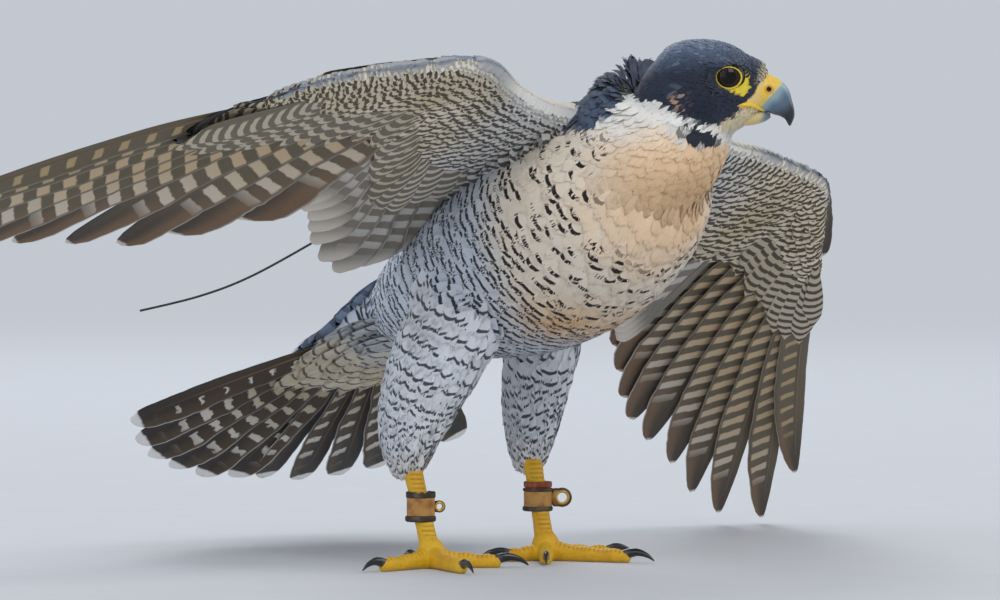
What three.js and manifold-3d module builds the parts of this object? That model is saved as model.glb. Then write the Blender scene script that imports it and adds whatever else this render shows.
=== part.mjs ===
// Peregrine falcon, life size, standing with its right wing held out and its left wing half folded.
// Millimetres, Z up. The bird faces -Y, its right side is -X, and both feet stand on Z = 0.

import * as THREE from "three";
import { mergeVertices } from "three/addons/utils/BufferGeometryUtils.js";
import Module from "manifold-3d";

const wasm = await Module();
wasm.setup();

// Gap that neighbouring solids keep, and how far a root is sunk into what carries it
const GAP = 0.35;

// Head: centre of the skull, turned to the bird's left, level
const HEAD_CENTRE = [11.7, -122.4, 238.6];
const HEAD_TURN = 52;
const EYE_FORWARD = 15.6;
const EYE_UP = 3.6;
const EYE_SIDE = 12.4;
const EYEBALL_RADIUS = 8.3;
const EYE_OPENING = 6.4;
const LID_RADIUS = 7.1;
const LID_THICKNESS = 1.3;
const NOSTRIL = [35.2, -2.2];
const NOSTRIL_RADIUS = 1.5;
const NOSTRIL_SIDE = 8.4;
const LID_SIDE = 19.2;

// Wings: wrist joint and the dorsal normal of each flat stretch
const WRIST_RIGHT = [-144, -144, 246.3];
const NORMAL_RIGHT = [-0.09, 0.48, 0.87];
const WRIST_LEFT = [156.1, -50.2, 189.1];
const NORMAL_LEFT_HAND = [0.204, 0.55, 0.81];
const NORMAL_LEFT_ARM = [-0.036, 0.64, 0.767];

// Tail: its root, its pitch below level and its roll to the left
const TAIL_ROOT = [0, 98, 124];
const TAIL_PITCH = 36.2;
const TAIL_ROLL = 3.1;

// Feet on the floor, and the joint above each tarsus
const FOOT = { right: [-53, 4], left: [25, 11] };
const HOCK = { right: [-54, 22, 60], left: [28, 28, 60] };
const TARSUS_RADIUS = 4.6;
const ANKLET_HEIGHT = 30;
const ANKLET_WIDTH = 15;
const ANKLET_THICKNESS = 2.4;

const COLOURS = {
  slate: 0x39424f,
  breast: 0xe6cdb2,
  flank: 0xc9cdd2,
  wing: 0x8f8672,
  tail: 0x55493c,
  yellow: 0xe3ae1c,
  horn: 0x5d6e80,
  claw: 0x17181a,
  eye: 0x140d08,
  leather: 0x6b3320,
  casing: 0x2b2b2c,
};

function degrees(angle) {
  return THREE.MathUtils.degToRad(angle);
}

function vec(values) {
  return new THREE.Vector3(...values);
}

// A body from its points and triangles, with the faces turned outwards
function body(points, triangles) {
  let volume = 0;
  const cross = new THREE.Vector3();
  for (let i = 0; i < triangles.length; i += 3) {
    const [a, b, c] = [0, 1, 2].map((k) => points[triangles[i + k]]);
    volume += a.dot(cross.crossVectors(b, c));
  }
  const faces = volume > 0 ? triangles : triangles.slice().reverse();
  const mesh = new wasm.Mesh({
    numProp: 3,
    vertProperties: new Float32Array(points.flatMap((p) => p.toArray())),
    triVerts: new Uint32Array(faces),
  });
  return new wasm.Manifold(mesh);
}

// A three.js geometry as a solid
function solidOf(geometry) {
  const bare = geometry.index ? geometry : geometry.clone();
  bare.deleteAttribute("normal");
  bare.deleteAttribute("uv");
  const merged = mergeVertices(bare, 1e-4);
  const position = merged.attributes.position;
  const points = [];
  for (let i = 0; i < position.count; i++) {
    points.push(new THREE.Vector3().fromBufferAttribute(position, i));
  }
  return body(points, Array.from(merged.index.array));
}

// A closed body through rings of equally many points, each end closed by a fan
function loft(rings) {
  const sides = rings[0].length;
  const last = (rings.length - 1) * sides;
  const triangles = [];
  for (let r = 0; r + 1 < rings.length; r++) {
    for (let s = 0; s < sides; s++) {
      const a = r * sides + s;
      const b = r * sides + ((s + 1) % sides);
      triangles.push(a, b, b + sides, a, b + sides, a + sides);
    }
  }
  for (let s = 1; s + 1 < sides; s++) {
    triangles.push(0, s + 1, s);
    triangles.push(last, last + s, last + s + 1);
  }
  return body(rings.flat(), triangles);
}

// A thin closed body between two like grids of points, split into triangles alike on both faces
function plate(top, bottom) {
  const rows = top.length;
  const columns = top[0].length;
  const under = rows * columns;
  const at = (r, c) => r * columns + c;
  const triangles = [];
  for (let r = 0; r + 1 < rows; r++) {
    for (let c = 0; c + 1 < columns; c++) {
      const [p, q, s, t] = [at(r, c), at(r, c + 1), at(r + 1, c + 1), at(r + 1, c)];
      triangles.push(p, q, s, p, s, t);
      triangles.push(p + under, s + under, q + under, p + under, t + under, s + under);
    }
  }
  const rim = [];
  for (let c = 0; c + 1 < columns; c++) rim.push(at(0, c));
  for (let r = 0; r + 1 < rows; r++) rim.push(at(r, columns - 1));
  for (let c = columns - 1; c > 0; c--) rim.push(at(rows - 1, c));
  for (let r = rows - 1; r > 0; r--) rim.push(at(r, 0));
  rim.forEach((p, i) => {
    const q = rim[(i + 1) % rim.length];
    triangles.push(p, p + under, q + under, p, q + under, q);
  });
  return body([...top.flat(), ...bottom.flat()], triangles);
}

// Rows of driving numbers read as one smooth curve, at a place from 0 to 1
function along(rows, place) {
  const spans = rows.length - 1;
  const index = Math.min(Math.floor(place * spans), spans - 1);
  const t = place * spans - index;
  const row = (i) => rows[Math.max(0, Math.min(spans, i))];
  return rows[0].map((_, k) => {
    const [p, q, r, s] = [-1, 0, 1, 2].map((step) => row(index + step)[k]);
    return 0.5 * (2 * q + (r - p) * t + (2 * p - 5 * q + 4 * r - s) * t * t
      + (3 * q - p - 3 * r + s) * t * t * t);
  });
}

// One oval ring of points, with its own half height above and below its centre
function oval(centre, across, up, [halfWidth, above, below], sides, squareness = 2) {
  const ring = [];
  for (let i = 0; i < sides; i++) {
    const turn = (2 * Math.PI * i) / sides;
    const [c, s] = [Math.cos(turn), Math.sin(turn)];
    const x = Math.sign(c) * Math.abs(c) ** (2 / squareness) * halfWidth;
    const y = Math.sign(s) * Math.abs(s) ** (2 / squareness) * (s > 0 ? above : below);
    ring.push(centre.clone().addScaledVector(across, x).addScaledVector(up, y));
  }
  return ring;
}

// A body of oval rings along a curve. Each row is x, y, z, half width, half height above and below
function tube({ rows, across, rings, sides, squareness = 2, grow = 0 }) {
  const place = (t) => vec(along(rows, THREE.MathUtils.clamp(t, 0, 1)).slice(0, 3));
  const step = 1e-3;
  const list = [];
  for (let i = 0; i < rings; i++) {
    const t = i / (rings - 1);
    const tangent = place(t + step).sub(place(t - step)).normalize();
    const side = vec(across).addScaledVector(tangent, -vec(across).dot(tangent)).normalize();
    const up = new THREE.Vector3().crossVectors(tangent, side);
    const centre = place(t);
    if (i === 0) centre.addScaledVector(tangent, -grow);
    if (i === rings - 1) centre.addScaledVector(tangent, grow);
    const sizes = along(rows, t).slice(3).map((size) => size + grow);
    list.push(oval(centre, side, up, sizes, sides, squareness));
  }
  return loft(list);
}

function sphere(centre, radius, around = 12, down = 8) {
  return solidOf(new THREE.SphereGeometry(radius, around, down).translate(...centre));
}

// A block with its middle, its three axes and its three sizes
function block(centre, axes, sizes) {
  const frame = new THREE.Matrix4().makeBasis(...axes).setPosition(centre);
  return solidOf(new THREE.BoxGeometry(...sizes).applyMatrix4(frame));
}

function union(solids) {
  return solids.reduce((sum, next) => sum.add(next));
}

// The largest closed surface of a solid, which drops loose scraps and sealed hollows
function largest(solid) {
  return solid.decompose().reduce((a, b) => (a.volume() > b.volume() ? a : b));
}

const falcon = new THREE.Group();

function addNode(name, solid, colour, roughness = 0.8, metalness = 0) {
  const { vertProperties, triVerts } = largest(solid).getMesh();
  const geometry = new THREE.BufferGeometry();
  geometry.setAttribute("position", new THREE.BufferAttribute(vertProperties, 3));
  geometry.setIndex(new THREE.BufferAttribute(triVerts, 1));
  geometry.computeVertexNormals();
  const material = new THREE.MeshStandardMaterial({ color: colour, roughness, metalness });
  const mesh = new THREE.Mesh(geometry, material);
  mesh.name = name;
  falcon.add(mesh);
}

// Torso: x, y, z of the axis, half width, depth above it and depth below it
const TORSO_ROWS = [
  [0, 100, 123, 25, 17, 19],
  [0, 66, 134, 40, 29, 36],
  [0, 32, 147, 50, 37, 50],
  [0, -5, 161, 57, 42, 60],
  [0, -42, 177, 60, 45, 63],
  [0, -75, 191, 55, 41, 56],
  [0, -98, 202, 43, 31, 42],
  [0, -112, 209, 24, 16, 22],
];

function torsoBody(grow = 0) {
  return tube({ rows: TORSO_ROWS, across: [1, 0, 0], rings: 12, sides: 18, grow });
}

// Points and directions of the head, from how far forward, left and up they are
const headForward = vec([Math.sin(degrees(HEAD_TURN)), -Math.cos(degrees(HEAD_TURN)), 0]);
const headLeft = vec([Math.cos(degrees(HEAD_TURN)), Math.sin(degrees(HEAD_TURN)), 0]);
const headUp = vec([0, 0, 1]);

function headPoint(forward, left, up) {
  return vec(HEAD_CENTRE).addScaledVector(headForward, forward)
    .addScaledVector(headLeft, left).addScaledVector(headUp, up);
}

// Rows given by how far forward and up they are, as rows of x, y and z
function headRows(rows) {
  return rows.map(([forward, up, ...sizes]) => [...headPoint(forward, 0, up).toArray(), ...sizes]);
}

// Head in profile: forward, up, half width, height above and depth below
const HEAD_ROWS = [
  [-28, -2, 6, 5, 6],
  [-24, -3, 14, 12, 14],
  [-16, -4, 20.5, 22, 20],
  [-6, -4, 23.5, 26, 22],
  [5, -3.5, 24, 26.5, 22.5],
  [15, -3, 21.5, 24.5, 21.5],
  [24, -2.5, 16, 20.2, 17],
  [31, -1.5, 11, 15.2, 10.5],
  [35.5, -1.5, 8, 10.6, 6.5],
];

function headBody(grow = 0) {
  const rows = headRows(HEAD_ROWS);
  return tube({ rows, across: headLeft.toArray(), rings: 11, sides: 16, squareness: 2.1, grow });
}

// Bill in profile: forward, up, half width, height above and depth below
const UPPER_BILL_ROWS = [
  [25, -2.5, 9.6, 9.4, 9.8],
  [33, -3, 8.6, 8.7, 10.8],
  [39.2, -6, 6.8, 7.6, 9.2],
  [43.4, -10.4, 4.8, 4.5, 6.6],
  [45.6, -14.6, 3, 2.7, 3.6],
  [45.9, -18, 1.4, 1.2, 1.5],
  [45.5, -20, 0.5, 0.4, 0.5],
];
const LOWER_BILL_ROWS = [
  [20, -15, 8.2, 4.2, 5],
  [28, -15.4, 6.6, 3.6, 4],
  [33, -15.2, 4.8, 2.8, 2.8],
  [36.4, -14.8, 2.2, 1.4, 1.2],
];
const CERE_EXTRA = 0.2;

function upperBill(grow = 0) {
  const rows = headRows(UPPER_BILL_ROWS);
  return tube({ rows, across: headLeft.toArray(), rings: 9, sides: 12, grow });
}

// All that lies behind the slanting edge where the cere meets the horn of the bill
function behindCereEdge(grow = 0) {
  const edge = headForward.clone().multiplyScalar(11).addScaledVector(headUp, 8).normalize();
  const outward = new THREE.Vector3().crossVectors(edge, headLeft);
  if (outward.dot(headForward) < 0) outward.negate();
  const reach = 60;
  const middle = headPoint(37.5, 0, -4.5).addScaledVector(outward, grow - reach / 2);
  return block(middle, [edge, headLeft, outward], [reach, reach, reach]);
}

function eyeBall(side, grow = 0) {
  return sphere(headPoint(EYE_FORWARD, side * EYE_SIDE, EYE_UP), EYEBALL_RADIUS + grow);
}

// The opening of an eye: the ball with its clearance, and the way out between the lids
function eyeSocket(side) {
  const length = 16;
  const way = new THREE.CylinderGeometry(EYE_OPENING, EYE_OPENING, length, 12);
  const middle = headPoint(EYE_FORWARD, side * (EYE_SIDE + length / 2), EYE_UP);
  way.applyMatrix4(new THREE.Matrix4().makeBasis(headUp, headLeft, headForward).setPosition(middle));
  return eyeBall(side, GAP).add(solidOf(way));
}

function lidRing(side) {
  const ring = new THREE.TorusGeometry(LID_RADIUS, LID_THICKNESS, 5, 12);
  const middle = headPoint(EYE_FORWARD, side * LID_SIDE, EYE_UP);
  const frame = new THREE.Matrix4().makeBasis(headForward, headUp, headLeft.clone().negate());
  return solidOf(ring.applyMatrix4(frame.setPosition(middle)));
}

// The brow that overhangs each eye, half sunk in the head
function brow(side) {
  const rows = [
    [3, 12, 15.5, 1, 1, 1],
    [9, 12.4, 18, 2.2, 2.2, 2.2],
    [17, 11.6, 18, 2.6, 2.4, 2.4],
    [26, 8.4, 13.4, 1.6, 1.6, 1.6],
  ].map(([forward, up, left, ...sizes]) => [...headPoint(forward, side * left, up), ...sizes]);
  return tube({ rows, across: headLeft.toArray(), rings: 5, sides: 6 });
}

// The line of the mouth behind the bill, a groove down each cheek
function gapeGroove(side) {
  const [height, depth] = [0.8, 4];
  const back = headPoint(17, side * 19.5, -10.4);
  const front = headPoint(33, side * 10.5, -10.4);
  const run = front.clone().sub(back);
  const length = run.length();
  const middle = back.add(front).multiplyScalar(0.5);
  run.normalize();
  return block(middle, [run, headUp, run.clone().cross(headUp)], [length, height, depth]);
}

function makeHead() {
  const sides = [1, -1];
  let head = union([headBody(), ...sides.map(brow), ...sides.map(lidRing)]);
  let cere = upperBill(CERE_EXTRA).intersect(behindCereEdge());
  for (const side of sides) {
    head = head.subtract(eyeSocket(side)).subtract(gapeGroove(side));
    const [forward, up] = NOSTRIL;
    cere = cere.subtract(sphere(headPoint(forward, side * NOSTRIL_SIDE, up), NOSTRIL_RADIUS, 10, 8));
    addNode(side > 0 ? "eye_left" : "eye_right", eyeBall(side), COLOURS.eye, 0.1);
  }
  const socket = upperBill(CERE_EXTRA + GAP);
  const lower = tube({ rows: headRows(LOWER_BILL_ROWS), across: headLeft.toArray(), rings: 5, sides: 10 });
  addNode("head", head.subtract(socket), COLOURS.slate);
  addNode("cere", cere, COLOURS.yellow, 0.5);
  addNode("bill_upper", upperBill().subtract(behindCereEdge(GAP)), COLOURS.horn, 0.35);
  addNode("bill_lower", lower.subtract(socket).subtract(headBody(GAP)), COLOURS.horn, 0.35);
}

// Neck: x, y, z of the axis from the body up, half width, depth behind and in front
const NECK_ROWS = [
  [0, -80, 196, 44, 40, 42],
  [2, -98, 205, 41, 43, 36],
  [5, -110, 213, 35, 41, 33],
  [8, -117, 222, 28, 35, 30],
  [9.5, -121, 232, 21, 28, 25],
];

function neckBody(grow = 0) {
  return tube({ rows: NECK_ROWS, across: [1, 0, 0], rings: 6, sides: 18, grow });
}

// A flat stretch of wing or tail: its origin and its directions outwards, backwards and dorsal
function sheet(origin, normal, outward) {
  const n = vec(normal).normalize();
  const c = new THREE.Vector3(0, 1, 0).addScaledVector(n, -n.y).normalize();
  const a = new THREE.Vector3().crossVectors(c, n).multiplyScalar(outward);
  return { origin: vec(origin), a, c, n };
}

function onSheet(frame, [a, c, n = 0]) {
  return frame.origin.clone().addScaledVector(frame.a, a).addScaledVector(frame.c, c)
    .addScaledVector(frame.n, n);
}

// A point of a sheet from its distance to the origin and its angle behind the outward direction
function fanned(distance, angle) {
  return [distance * Math.cos(degrees(angle)), distance * Math.sin(degrees(angle))];
}

// The section of a wing between its leading point and the end of its coverts
function airfoil(leading, trailing, normal, thickness, edge) {
  const heights = [[0.1, 0.72], [0.38, 1], [0.72, 0.7]];
  const at = (place, height) => leading.clone().lerp(trailing, place).addScaledVector(normal, height);
  const above = heights.map(([place, height]) => at(place, (height * thickness) / 2));
  const below = heights.map(([place, height]) => at(place, (-height * thickness) / 2)).reverse();
  return [leading.clone(), ...above, at(1, edge / 2), at(1, -edge / 2), ...below];
}

// Primaries from the inmost to the outmost: distance of the tip from the wrist, and its angle
const RIGHT_PRIMARIES = [
  [152, 70], [172, 60], [190, 53], [206, 43.5], [227, 35],
  [252, 31.2], [278, 27.8], [300, 24.5], [312, 21.2], [303, 19.4],
];
const LEFT_PRIMARIES = [
  [164, 89], [182, 84], [203, 79.6], [221, 76], [238, 71.7],
  [259, 66.8], [288, 62.8], [311, 59], [320, 54.4], [276, 51.4],
];

// Each wing: its sheets, the line of its roots, the tips of its secondaries and its core of coverts
const WINGS = {
  right: {
    hand: sheet(WRIST_RIGHT, NORMAL_RIGHT, -1),
    arm: sheet(WRIST_RIGHT, NORMAL_RIGHT, -1),
    primaries: RIGHT_PRIMARIES,
    handRoots: [[6, 8, 0], [72, 6, 1]],
    alula: [[[10, 0], [64, 0]], [[10, -1], [76, -2]], [[10, -2], [88, -4]]],
    bow: 11,
    secondaries: 9,
    armRoots: [[0, 12, 1], [-14, 54, 0], [-34, 94, -2], [-72, 104, -4]],
    armTips: [
      [17.5, 135, -2], [-4, 157, -2.5], [-24, 187, -3],
      [-62, 226, -4], [-84, 210, -5], [-100, 188, -6],
    ],
    core: [
      ["arm", [-126, 72, 2], [-112, 118, 4], 20],
      ["arm", [-92, 58, 3], [-86, 140, 5], 17],
      ["arm", [-58, 35, 4], [-52, 130, 6], 15],
      ["arm", [-26, 7, 4], [-19, 100, 6], 13],
      ["hand", [0, -7, 2], [10, 64, 4], 12],
      ["hand", [32, -10, 1], [42, 50, 1], 11],
      ["hand", [64, -12, 0], [74, 40, -1], 10],
      ["hand", [92, -8, -1], [100, 28, -2], 8],
      ["hand", [112, 1, -2], [118, 22, -2.5], 5],
    ],
  },
  left: {
    hand: sheet(WRIST_LEFT, NORMAL_LEFT_HAND, 1),
    arm: sheet(WRIST_LEFT, NORMAL_LEFT_ARM, 1),
    primaries: LEFT_PRIMARIES,
    handRoots: [[4, 12, 0], [42, 54, 0]],
    alula: [[[6, 6], [35, 46]], [[6, 4], [41, 49]], [[6, 3], [47, 51]]],
    bow: -3,
    secondaries: 6,
    armRoots: [[-4, 10, 2], [-94, 2, 3]],
    armTips: [[-36, 144, 12], [-54, 121, 7], [-69, 97, 3], [-93, 77, 1]],
    core: [
      ["arm", [-136, -52, 4], [-136, 10, 4], 22],
      ["arm", [-104, -44, 5], [-106, 30, 7], 18],
      ["arm", [-62, -32, 5], [-66, 48, 7], 15],
      ["arm", [-24, -18, 3], [-26, 60, 6], 13],
      ["hand", [0, -6, 1], [4, 66, 3], 12],
      ["hand", [19, 17, 0], [26, 76, 1], 11],
      ["hand", [38, 44, -1], [50, 86, -1], 10],
      ["hand", [54, 65, -2], [66, 91, -2], 8],
      ["hand", [64, 78, -2.5], [74, 92, -2.5], 5],
    ],
  },
};
const EDGE_THICKNESS = 1.6;

// Feathers lie on one another from the outmost, lowest, to the inmost, highest
const LOWEST_LIFT = -3;
const LIFT_STEP = 0.8;
const LOUVRE_TILT = 7;
const COVERT_LIFT = 3.1;

// Vane outlines: place along the shaft and share of the full width
const FLIGHT_OUTLINE = [[0, 0.2], [0.24, 0.72], [0.58, 1], [0.87, 0.74], [1, 0.24]];
const COVERT_OUTLINE = [[0, 0.35], [0.55, 1], [0.84, 0.85], [1, 0.3]];
const VANE_THICKNESS = 0.65;

// The core of a wing: flesh and the coverts that lie on it, as one flat lofted form
function wingCore(wing) {
  return loft(wing.core.map(([part, leading, trailing, thickness]) => {
    const frame = wing[part];
    return airfoil(onSheet(frame, leading), onSheet(frame, trailing), frame.n, thickness, EDGE_THICKNESS);
  }));
}

// One feather from root to tip. Its outer web is the narrow one and lies higher than the inner.
// The shaft bows outwards and arches up, and its lift above the sheet lessens towards its tip.
function vane({ root, tip, normal, turn, outer, inner, bow = 0, arch = 0, lift = 0, outline }) {
  const run = tip.clone().sub(root).normalize();
  const sideways = normal.clone().cross(run).multiplyScalar(turn).normalize();
  const shaft = (t) => {
    const hump = 4 * t * (1 - t);
    const rise = lift * (1 - 0.4 * t);
    return root.clone().lerp(tip, t).addScaledVector(sideways, bow * hump)
      .addScaledVector(normal, arch * hump + rise);
  };
  const step = 0.01;
  const [tops, bottoms] = [[], []];
  for (const [t, share] of outline) {
    const tangent = shaft(t + step).sub(shaft(t - step)).normalize();
    const level = normal.clone().cross(tangent).multiplyScalar(turn).normalize();
    const face = tangent.clone().cross(level).multiplyScalar(turn).normalize();
    const angle = degrees(LOUVRE_TILT);
    const across = level.clone().multiplyScalar(Math.cos(angle)).addScaledVector(face, Math.sin(angle));
    const up = face.clone().multiplyScalar(Math.cos(angle)).addScaledVector(level, -Math.sin(angle));
    const columns = [-inner * share, outer * share];
    const at = (sign) => columns.map((side) => (
      shaft(t).addScaledVector(across, side).addScaledVector(up, (sign * VANE_THICKNESS) / 2)
    ));
    tops.push(at(1));
    bottoms.push(at(-1));
  }
  return plate(tops, bottoms);
}

// Root, tip and lift of every flight feather, from the inmost secondary to the outmost primary
function flightFeathers(wing) {
  const list = [];
  for (let i = 0; i < wing.secondaries; i++) {
    const place = 1 - i / (wing.secondaries - 1);
    const root = onSheet(wing.arm, along(wing.armRoots, place));
    const tip = onSheet(wing.arm, along(wing.armTips, place));
    list.push({ root, tip, normal: wing.arm.n, outer: 8, inner: 14, bow: 0, covert: 0.52 });
  }
  wing.primaries.forEach(([distance, angle], i) => {
    const place = i / (wing.primaries.length - 1);
    const root = onSheet(wing.hand, along(wing.handRoots, place));
    const tip = onSheet(wing.hand, fanned(distance, angle));
    const widths = { outer: 8 - 2.6 * place, inner: 15.5 };
    const covert = 0.46 - 0.12 * place;
    list.push({ root, tip, normal: wing.hand.n, ...widths, bow: wing.bow * place, covert });
  });
  const last = list.length - 1;
  return list.map((feather, i) => ({ ...feather, lift: LOWEST_LIFT + LIFT_STEP * (last - i) }));
}

// A tier of coverts over or under the flight feathers, one to every second feather
function coverts(feathers, turn, level) {
  const carriers = feathers.filter((_, i) => i % 2 === 0);
  return carriers.map(({ root, tip, normal, outer, inner, lift, covert }) => vane({
    root, tip: root.clone().lerp(tip, covert), normal, turn, arch: 2,
    outer: outer + 2, inner, lift: lift + level, outline: COVERT_OUTLINE,
  }));
}

// The three feathers of the thumb, along the leading edge of the hand
function alula(wing, turn) {
  return wing.alula.map(([root, tip], i) => vane({
    root: onSheet(wing.hand, root), tip: onSheet(wing.hand, tip), normal: wing.hand.n, turn,
    outer: 4.5, inner: 8, lift: 1 + 1.3 * i, outline: COVERT_OUTLINE,
  }));
}

function makeWing(side) {
  const wing = WINGS[side];
  const turn = side === "right" ? 1 : -1;
  const feathers = flightFeathers(wing);
  const flight = feathers.map((feather) => vane({
    ...feather, turn, arch: 4, outline: FLIGHT_OUTLINE,
  }));
  const solid = union([
    wingCore(wing), ...flight, ...coverts(feathers, turn, COVERT_LIFT),
    ...coverts(feathers, turn, -COVERT_LIFT), ...alula(wing, turn),
  ]);
  const clear = solid.subtract(torsoBody(GAP)).subtract(neckBody(GAP)).subtract(thighBody(side, GAP));
  addNode("wing_" + side, clear, COLOURS.wing);
}

// Tail: its sheet, the half angle of its fan, the lengths from the middle feather outwards
const TAIL = sheet(TAIL_ROOT, [
  Math.sin(degrees(TAIL_ROLL)),
  Math.sin(degrees(TAIL_PITCH)) * Math.cos(degrees(TAIL_ROLL)),
  Math.cos(degrees(TAIL_PITCH)) * Math.cos(degrees(TAIL_ROLL)),
], 1);
const TAIL_HALF_ANGLE = 45.5;
const TAIL_LENGTHS = [156, 158, 158, 157, 154, 150];
const TAIL_CORE_ROWS = [
  [0, -16, -1, 26, 16, 17],
  [0, 12, 0, 30, 13, 14],
  [0, 34, 0, 31, 9, 9.5],
  [0, 52, 0, 29, 5, 6],
  [0, 64, 0, 26, 2.4, 2.4],
];

function tailCore(grow = 0) {
  const rows = TAIL_CORE_ROWS.map(([a, c, n, ...sizes]) => [...onSheet(TAIL, [a, c, n]), ...sizes]);
  return tube({ rows: rows.reverse(), across: TAIL.a.toArray(), rings: 9, sides: 14, grow });
}

// Tail feathers from the right side to the left: the middle ones lie highest
function tailFeathers() {
  const half = TAIL_LENGTHS.length;
  return Array.from({ length: 2 * half }, (_, i) => {
    const place = (i + 0.5 - half) / (half - 0.5);
    const rank = Math.floor(Math.abs(i + 0.5 - half));
    const [a, c] = fanned(TAIL_LENGTHS[rank], 90 - place * TAIL_HALF_ANGLE);
    return vane({
      root: onSheet(TAIL, [place * 13, 18]), tip: onSheet(TAIL, [a, c]), normal: TAIL.n,
      turn: place < 0 ? 1 : -1, outer: 8, inner: 14, arch: 1.5,
      lift: 2.6 - 1.05 * rank + (i === half ? 0.95 : 0), outline: FLIGHT_OUTLINE,
    });
  });
}

// Coverts over or under the root of the tail, longest in the middle
function tailCoverts(level, reach, spread) {
  const places = [-0.8, 0, 0.8];
  return places.map((place, i) => {
    const [a, c] = fanned(reach - 12 * Math.abs(place), 90 - place * spread);
    return vane({
      root: onSheet(TAIL, [place * 26, 0]), tip: onSheet(TAIL, [a, c]), normal: TAIL.n,
      turn: place < 0 ? 1 : -1, outer: 13, inner: 15,
      lift: level + Math.sign(level) * i,
      outline: COVERT_OUTLINE,
    });
  });
}

function makeTail() {
  const coverts = [...tailCoverts(5.5, 90, 46), ...tailCoverts(-7.5, 92, 34)];
  const solid = union([tailCore(), ...tailFeathers(), ...coverts]);
  addNode("tail", solid.subtract(torsoBody(GAP)), COLOURS.tail);
}

// Legs: x, y, z of the axis from the hip down, half width, depth in front and behind
const THIGH_ROWS = {
  right: [
    [-32, -4, 142, 20, 30, 30],
    [-42, 6, 112, 21, 30, 30],
    [-49, 15, 88, 20, 25, 27],
    [-53, 20, 68, 16, 20, 23],
    [-54, 22, 53, 11, 13, 17],
    [-54, 24, 43, 5, 6, 9],
  ],
  left: [
    [28, 12, 142, 20, 28, 30],
    [32, 22, 112, 19, 25, 27],
    [32, 27, 88, 16, 22, 24],
    [30, 28, 68, 14, 17, 20],
    [29, 29, 53, 10, 12, 15],
    [28, 30, 43, 5, 6, 8],
  ],
};

function thighBody(side, grow = 0) {
  return tube({ rows: THIGH_ROWS[side], across: [1, 0, 0], rings: 9, sides: 14, grow });
}

// The bare shank from the foot up into the feathers of the leg
function tarsusBody(side, grow = 0) {
  const [x, y] = FOOT[side];
  const top = vec(HOCK[side]);
  const row = (place, ...sizes) => [...vec([x, y, 7]).lerp(top, place), ...sizes];
  const rows = [
    row(0, 5.2, 5.4, 5.4),
    row(0.2, TARSUS_RADIUS, 4.8, 4.8),
    row(0.6, TARSUS_RADIUS, 4.8, 4.8),
    row(1, 5.4, 5.6, 6),
  ];
  return tube({ rows, across: [1, 0, 0], rings: 6, sides: 12, grow });
}

// Toes: direction seen from above and length, the hind toe first
const TOES = {
  right: [[75, 22], [-38, 33], [-107, 44], [-168, 36]],
  left: [[171, 22], [-128, 33], [-62, 44], [-10, 36]],
};
const CLAW_LENGTH = 15;

// Middle of the foot: height, half width and half depth
const PAD_ROWS = [[0, 6.8, 6.8], [2, 7.8, 7.8], [7, 7.4, 7.2], [11, 6.2, 6.2], [14, 4.2, 4.2]];

// A toe or claw ring, upright across the toe and flat where it would pass below the floor
function uprightRing(centre, direction, halfWidth, halfHeight, sides) {
  const across = new THREE.Vector3(-direction.y, direction.x, 0).normalize();
  const ring = oval(centre, across, vec([0, 0, 1]), [halfWidth, halfHeight, halfHeight], sides, 2.2);
  ring.forEach((point) => { point.z = Math.max(point.z, 0); });
  return ring;
}

// How far out, how wide and how high a toe is along its length, with a pad under each joint
function toeProfile(length) {
  return [
    [0, 4.6, 6.5], [0.22, 4.3, 4.6], [0.38, 3.5, 4.1], [0.54, 4.1, 3.9],
    [0.7, 3.2, 3.5], [0.86, 3.8, 3.5], [1, 2.6, 3.4],
  ].map(([place, width, height]) => [place * length, width, height]);
}

function toeDirection([angle]) {
  return vec([Math.cos(degrees(angle)), Math.sin(degrees(angle)), 0]);
}

function toeBody(side, toe) {
  const [x, y] = FOOT[side];
  const direction = toeDirection(toe);
  return loft(toeProfile(toe[1]).map(([out, width, height]) => {
    const centre = vec([x, y, height - 0.25]).addScaledVector(direction, out);
    return uprightRing(centre, direction, width, height, 7);
  }));
}

// A claw curves up and over from the toe's end, then down, with its point just off the floor
function clawBody(side, toe) {
  const [x, y] = FOOT[side];
  const direction = toeDirection(toe);
  const start = toe[1] + GAP;
  const scale = toe[1] < 30 ? 1.1 : 1;
  return loft([
    [0, 3.8, 2.2, 2.8], [0.25, 5, 2, 2.5], [0.5, 5.3, 1.6, 2],
    [0.78, 3.9, 1, 1.4], [1, 1.4, 0.3, 0.5],
  ].map(([place, height, width, depth]) => {
    const out = start + place * CLAW_LENGTH * scale;
    const centre = vec([x, y, height]).addScaledVector(direction, out);
    return uprightRing(centre, direction, width, depth, 6);
  }));
}

function makeLeg(side) {
  const thigh = thighBody(side).subtract(torsoBody(GAP));
  addNode("thigh_" + side, thigh, COLOURS.flank);
  const tarsus = tarsusBody(side).subtract(thighBody(side, GAP));
  addNode("tarsus_" + side, tarsus, COLOURS.yellow, 0.6);
  const [x, y] = FOOT[side];
  const pad = loft(PAD_ROWS.map(([z, wide, deep]) => (
    oval(vec([x, y, z]), vec([1, 0, 0]), vec([0, 1, 0]), [wide, deep, deep], 12)
  )));
  const foot = union([pad, ...TOES[side].map((toe) => toeBody(side, toe))]);
  addNode("foot_" + side, foot.subtract(tarsusBody(side, GAP)), COLOURS.yellow, 0.6);
  TOES[side].forEach((toe, i) => {
    addNode("claw_" + side + "_" + (i + 1), clawBody(side, toe), COLOURS.claw, 0.35);
  });
}

// The direction of a shank and its centre at the height of its anklet
function shankAt(side, height) {
  const [x, y] = FOOT[side];
  const foot = vec([x, y, 7]);
  const run = vec(HOCK[side]).sub(foot);
  const centre = foot.addScaledVector(run, (height - 7) / run.z);
  return { centre, run: run.normalize() };
}

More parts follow.
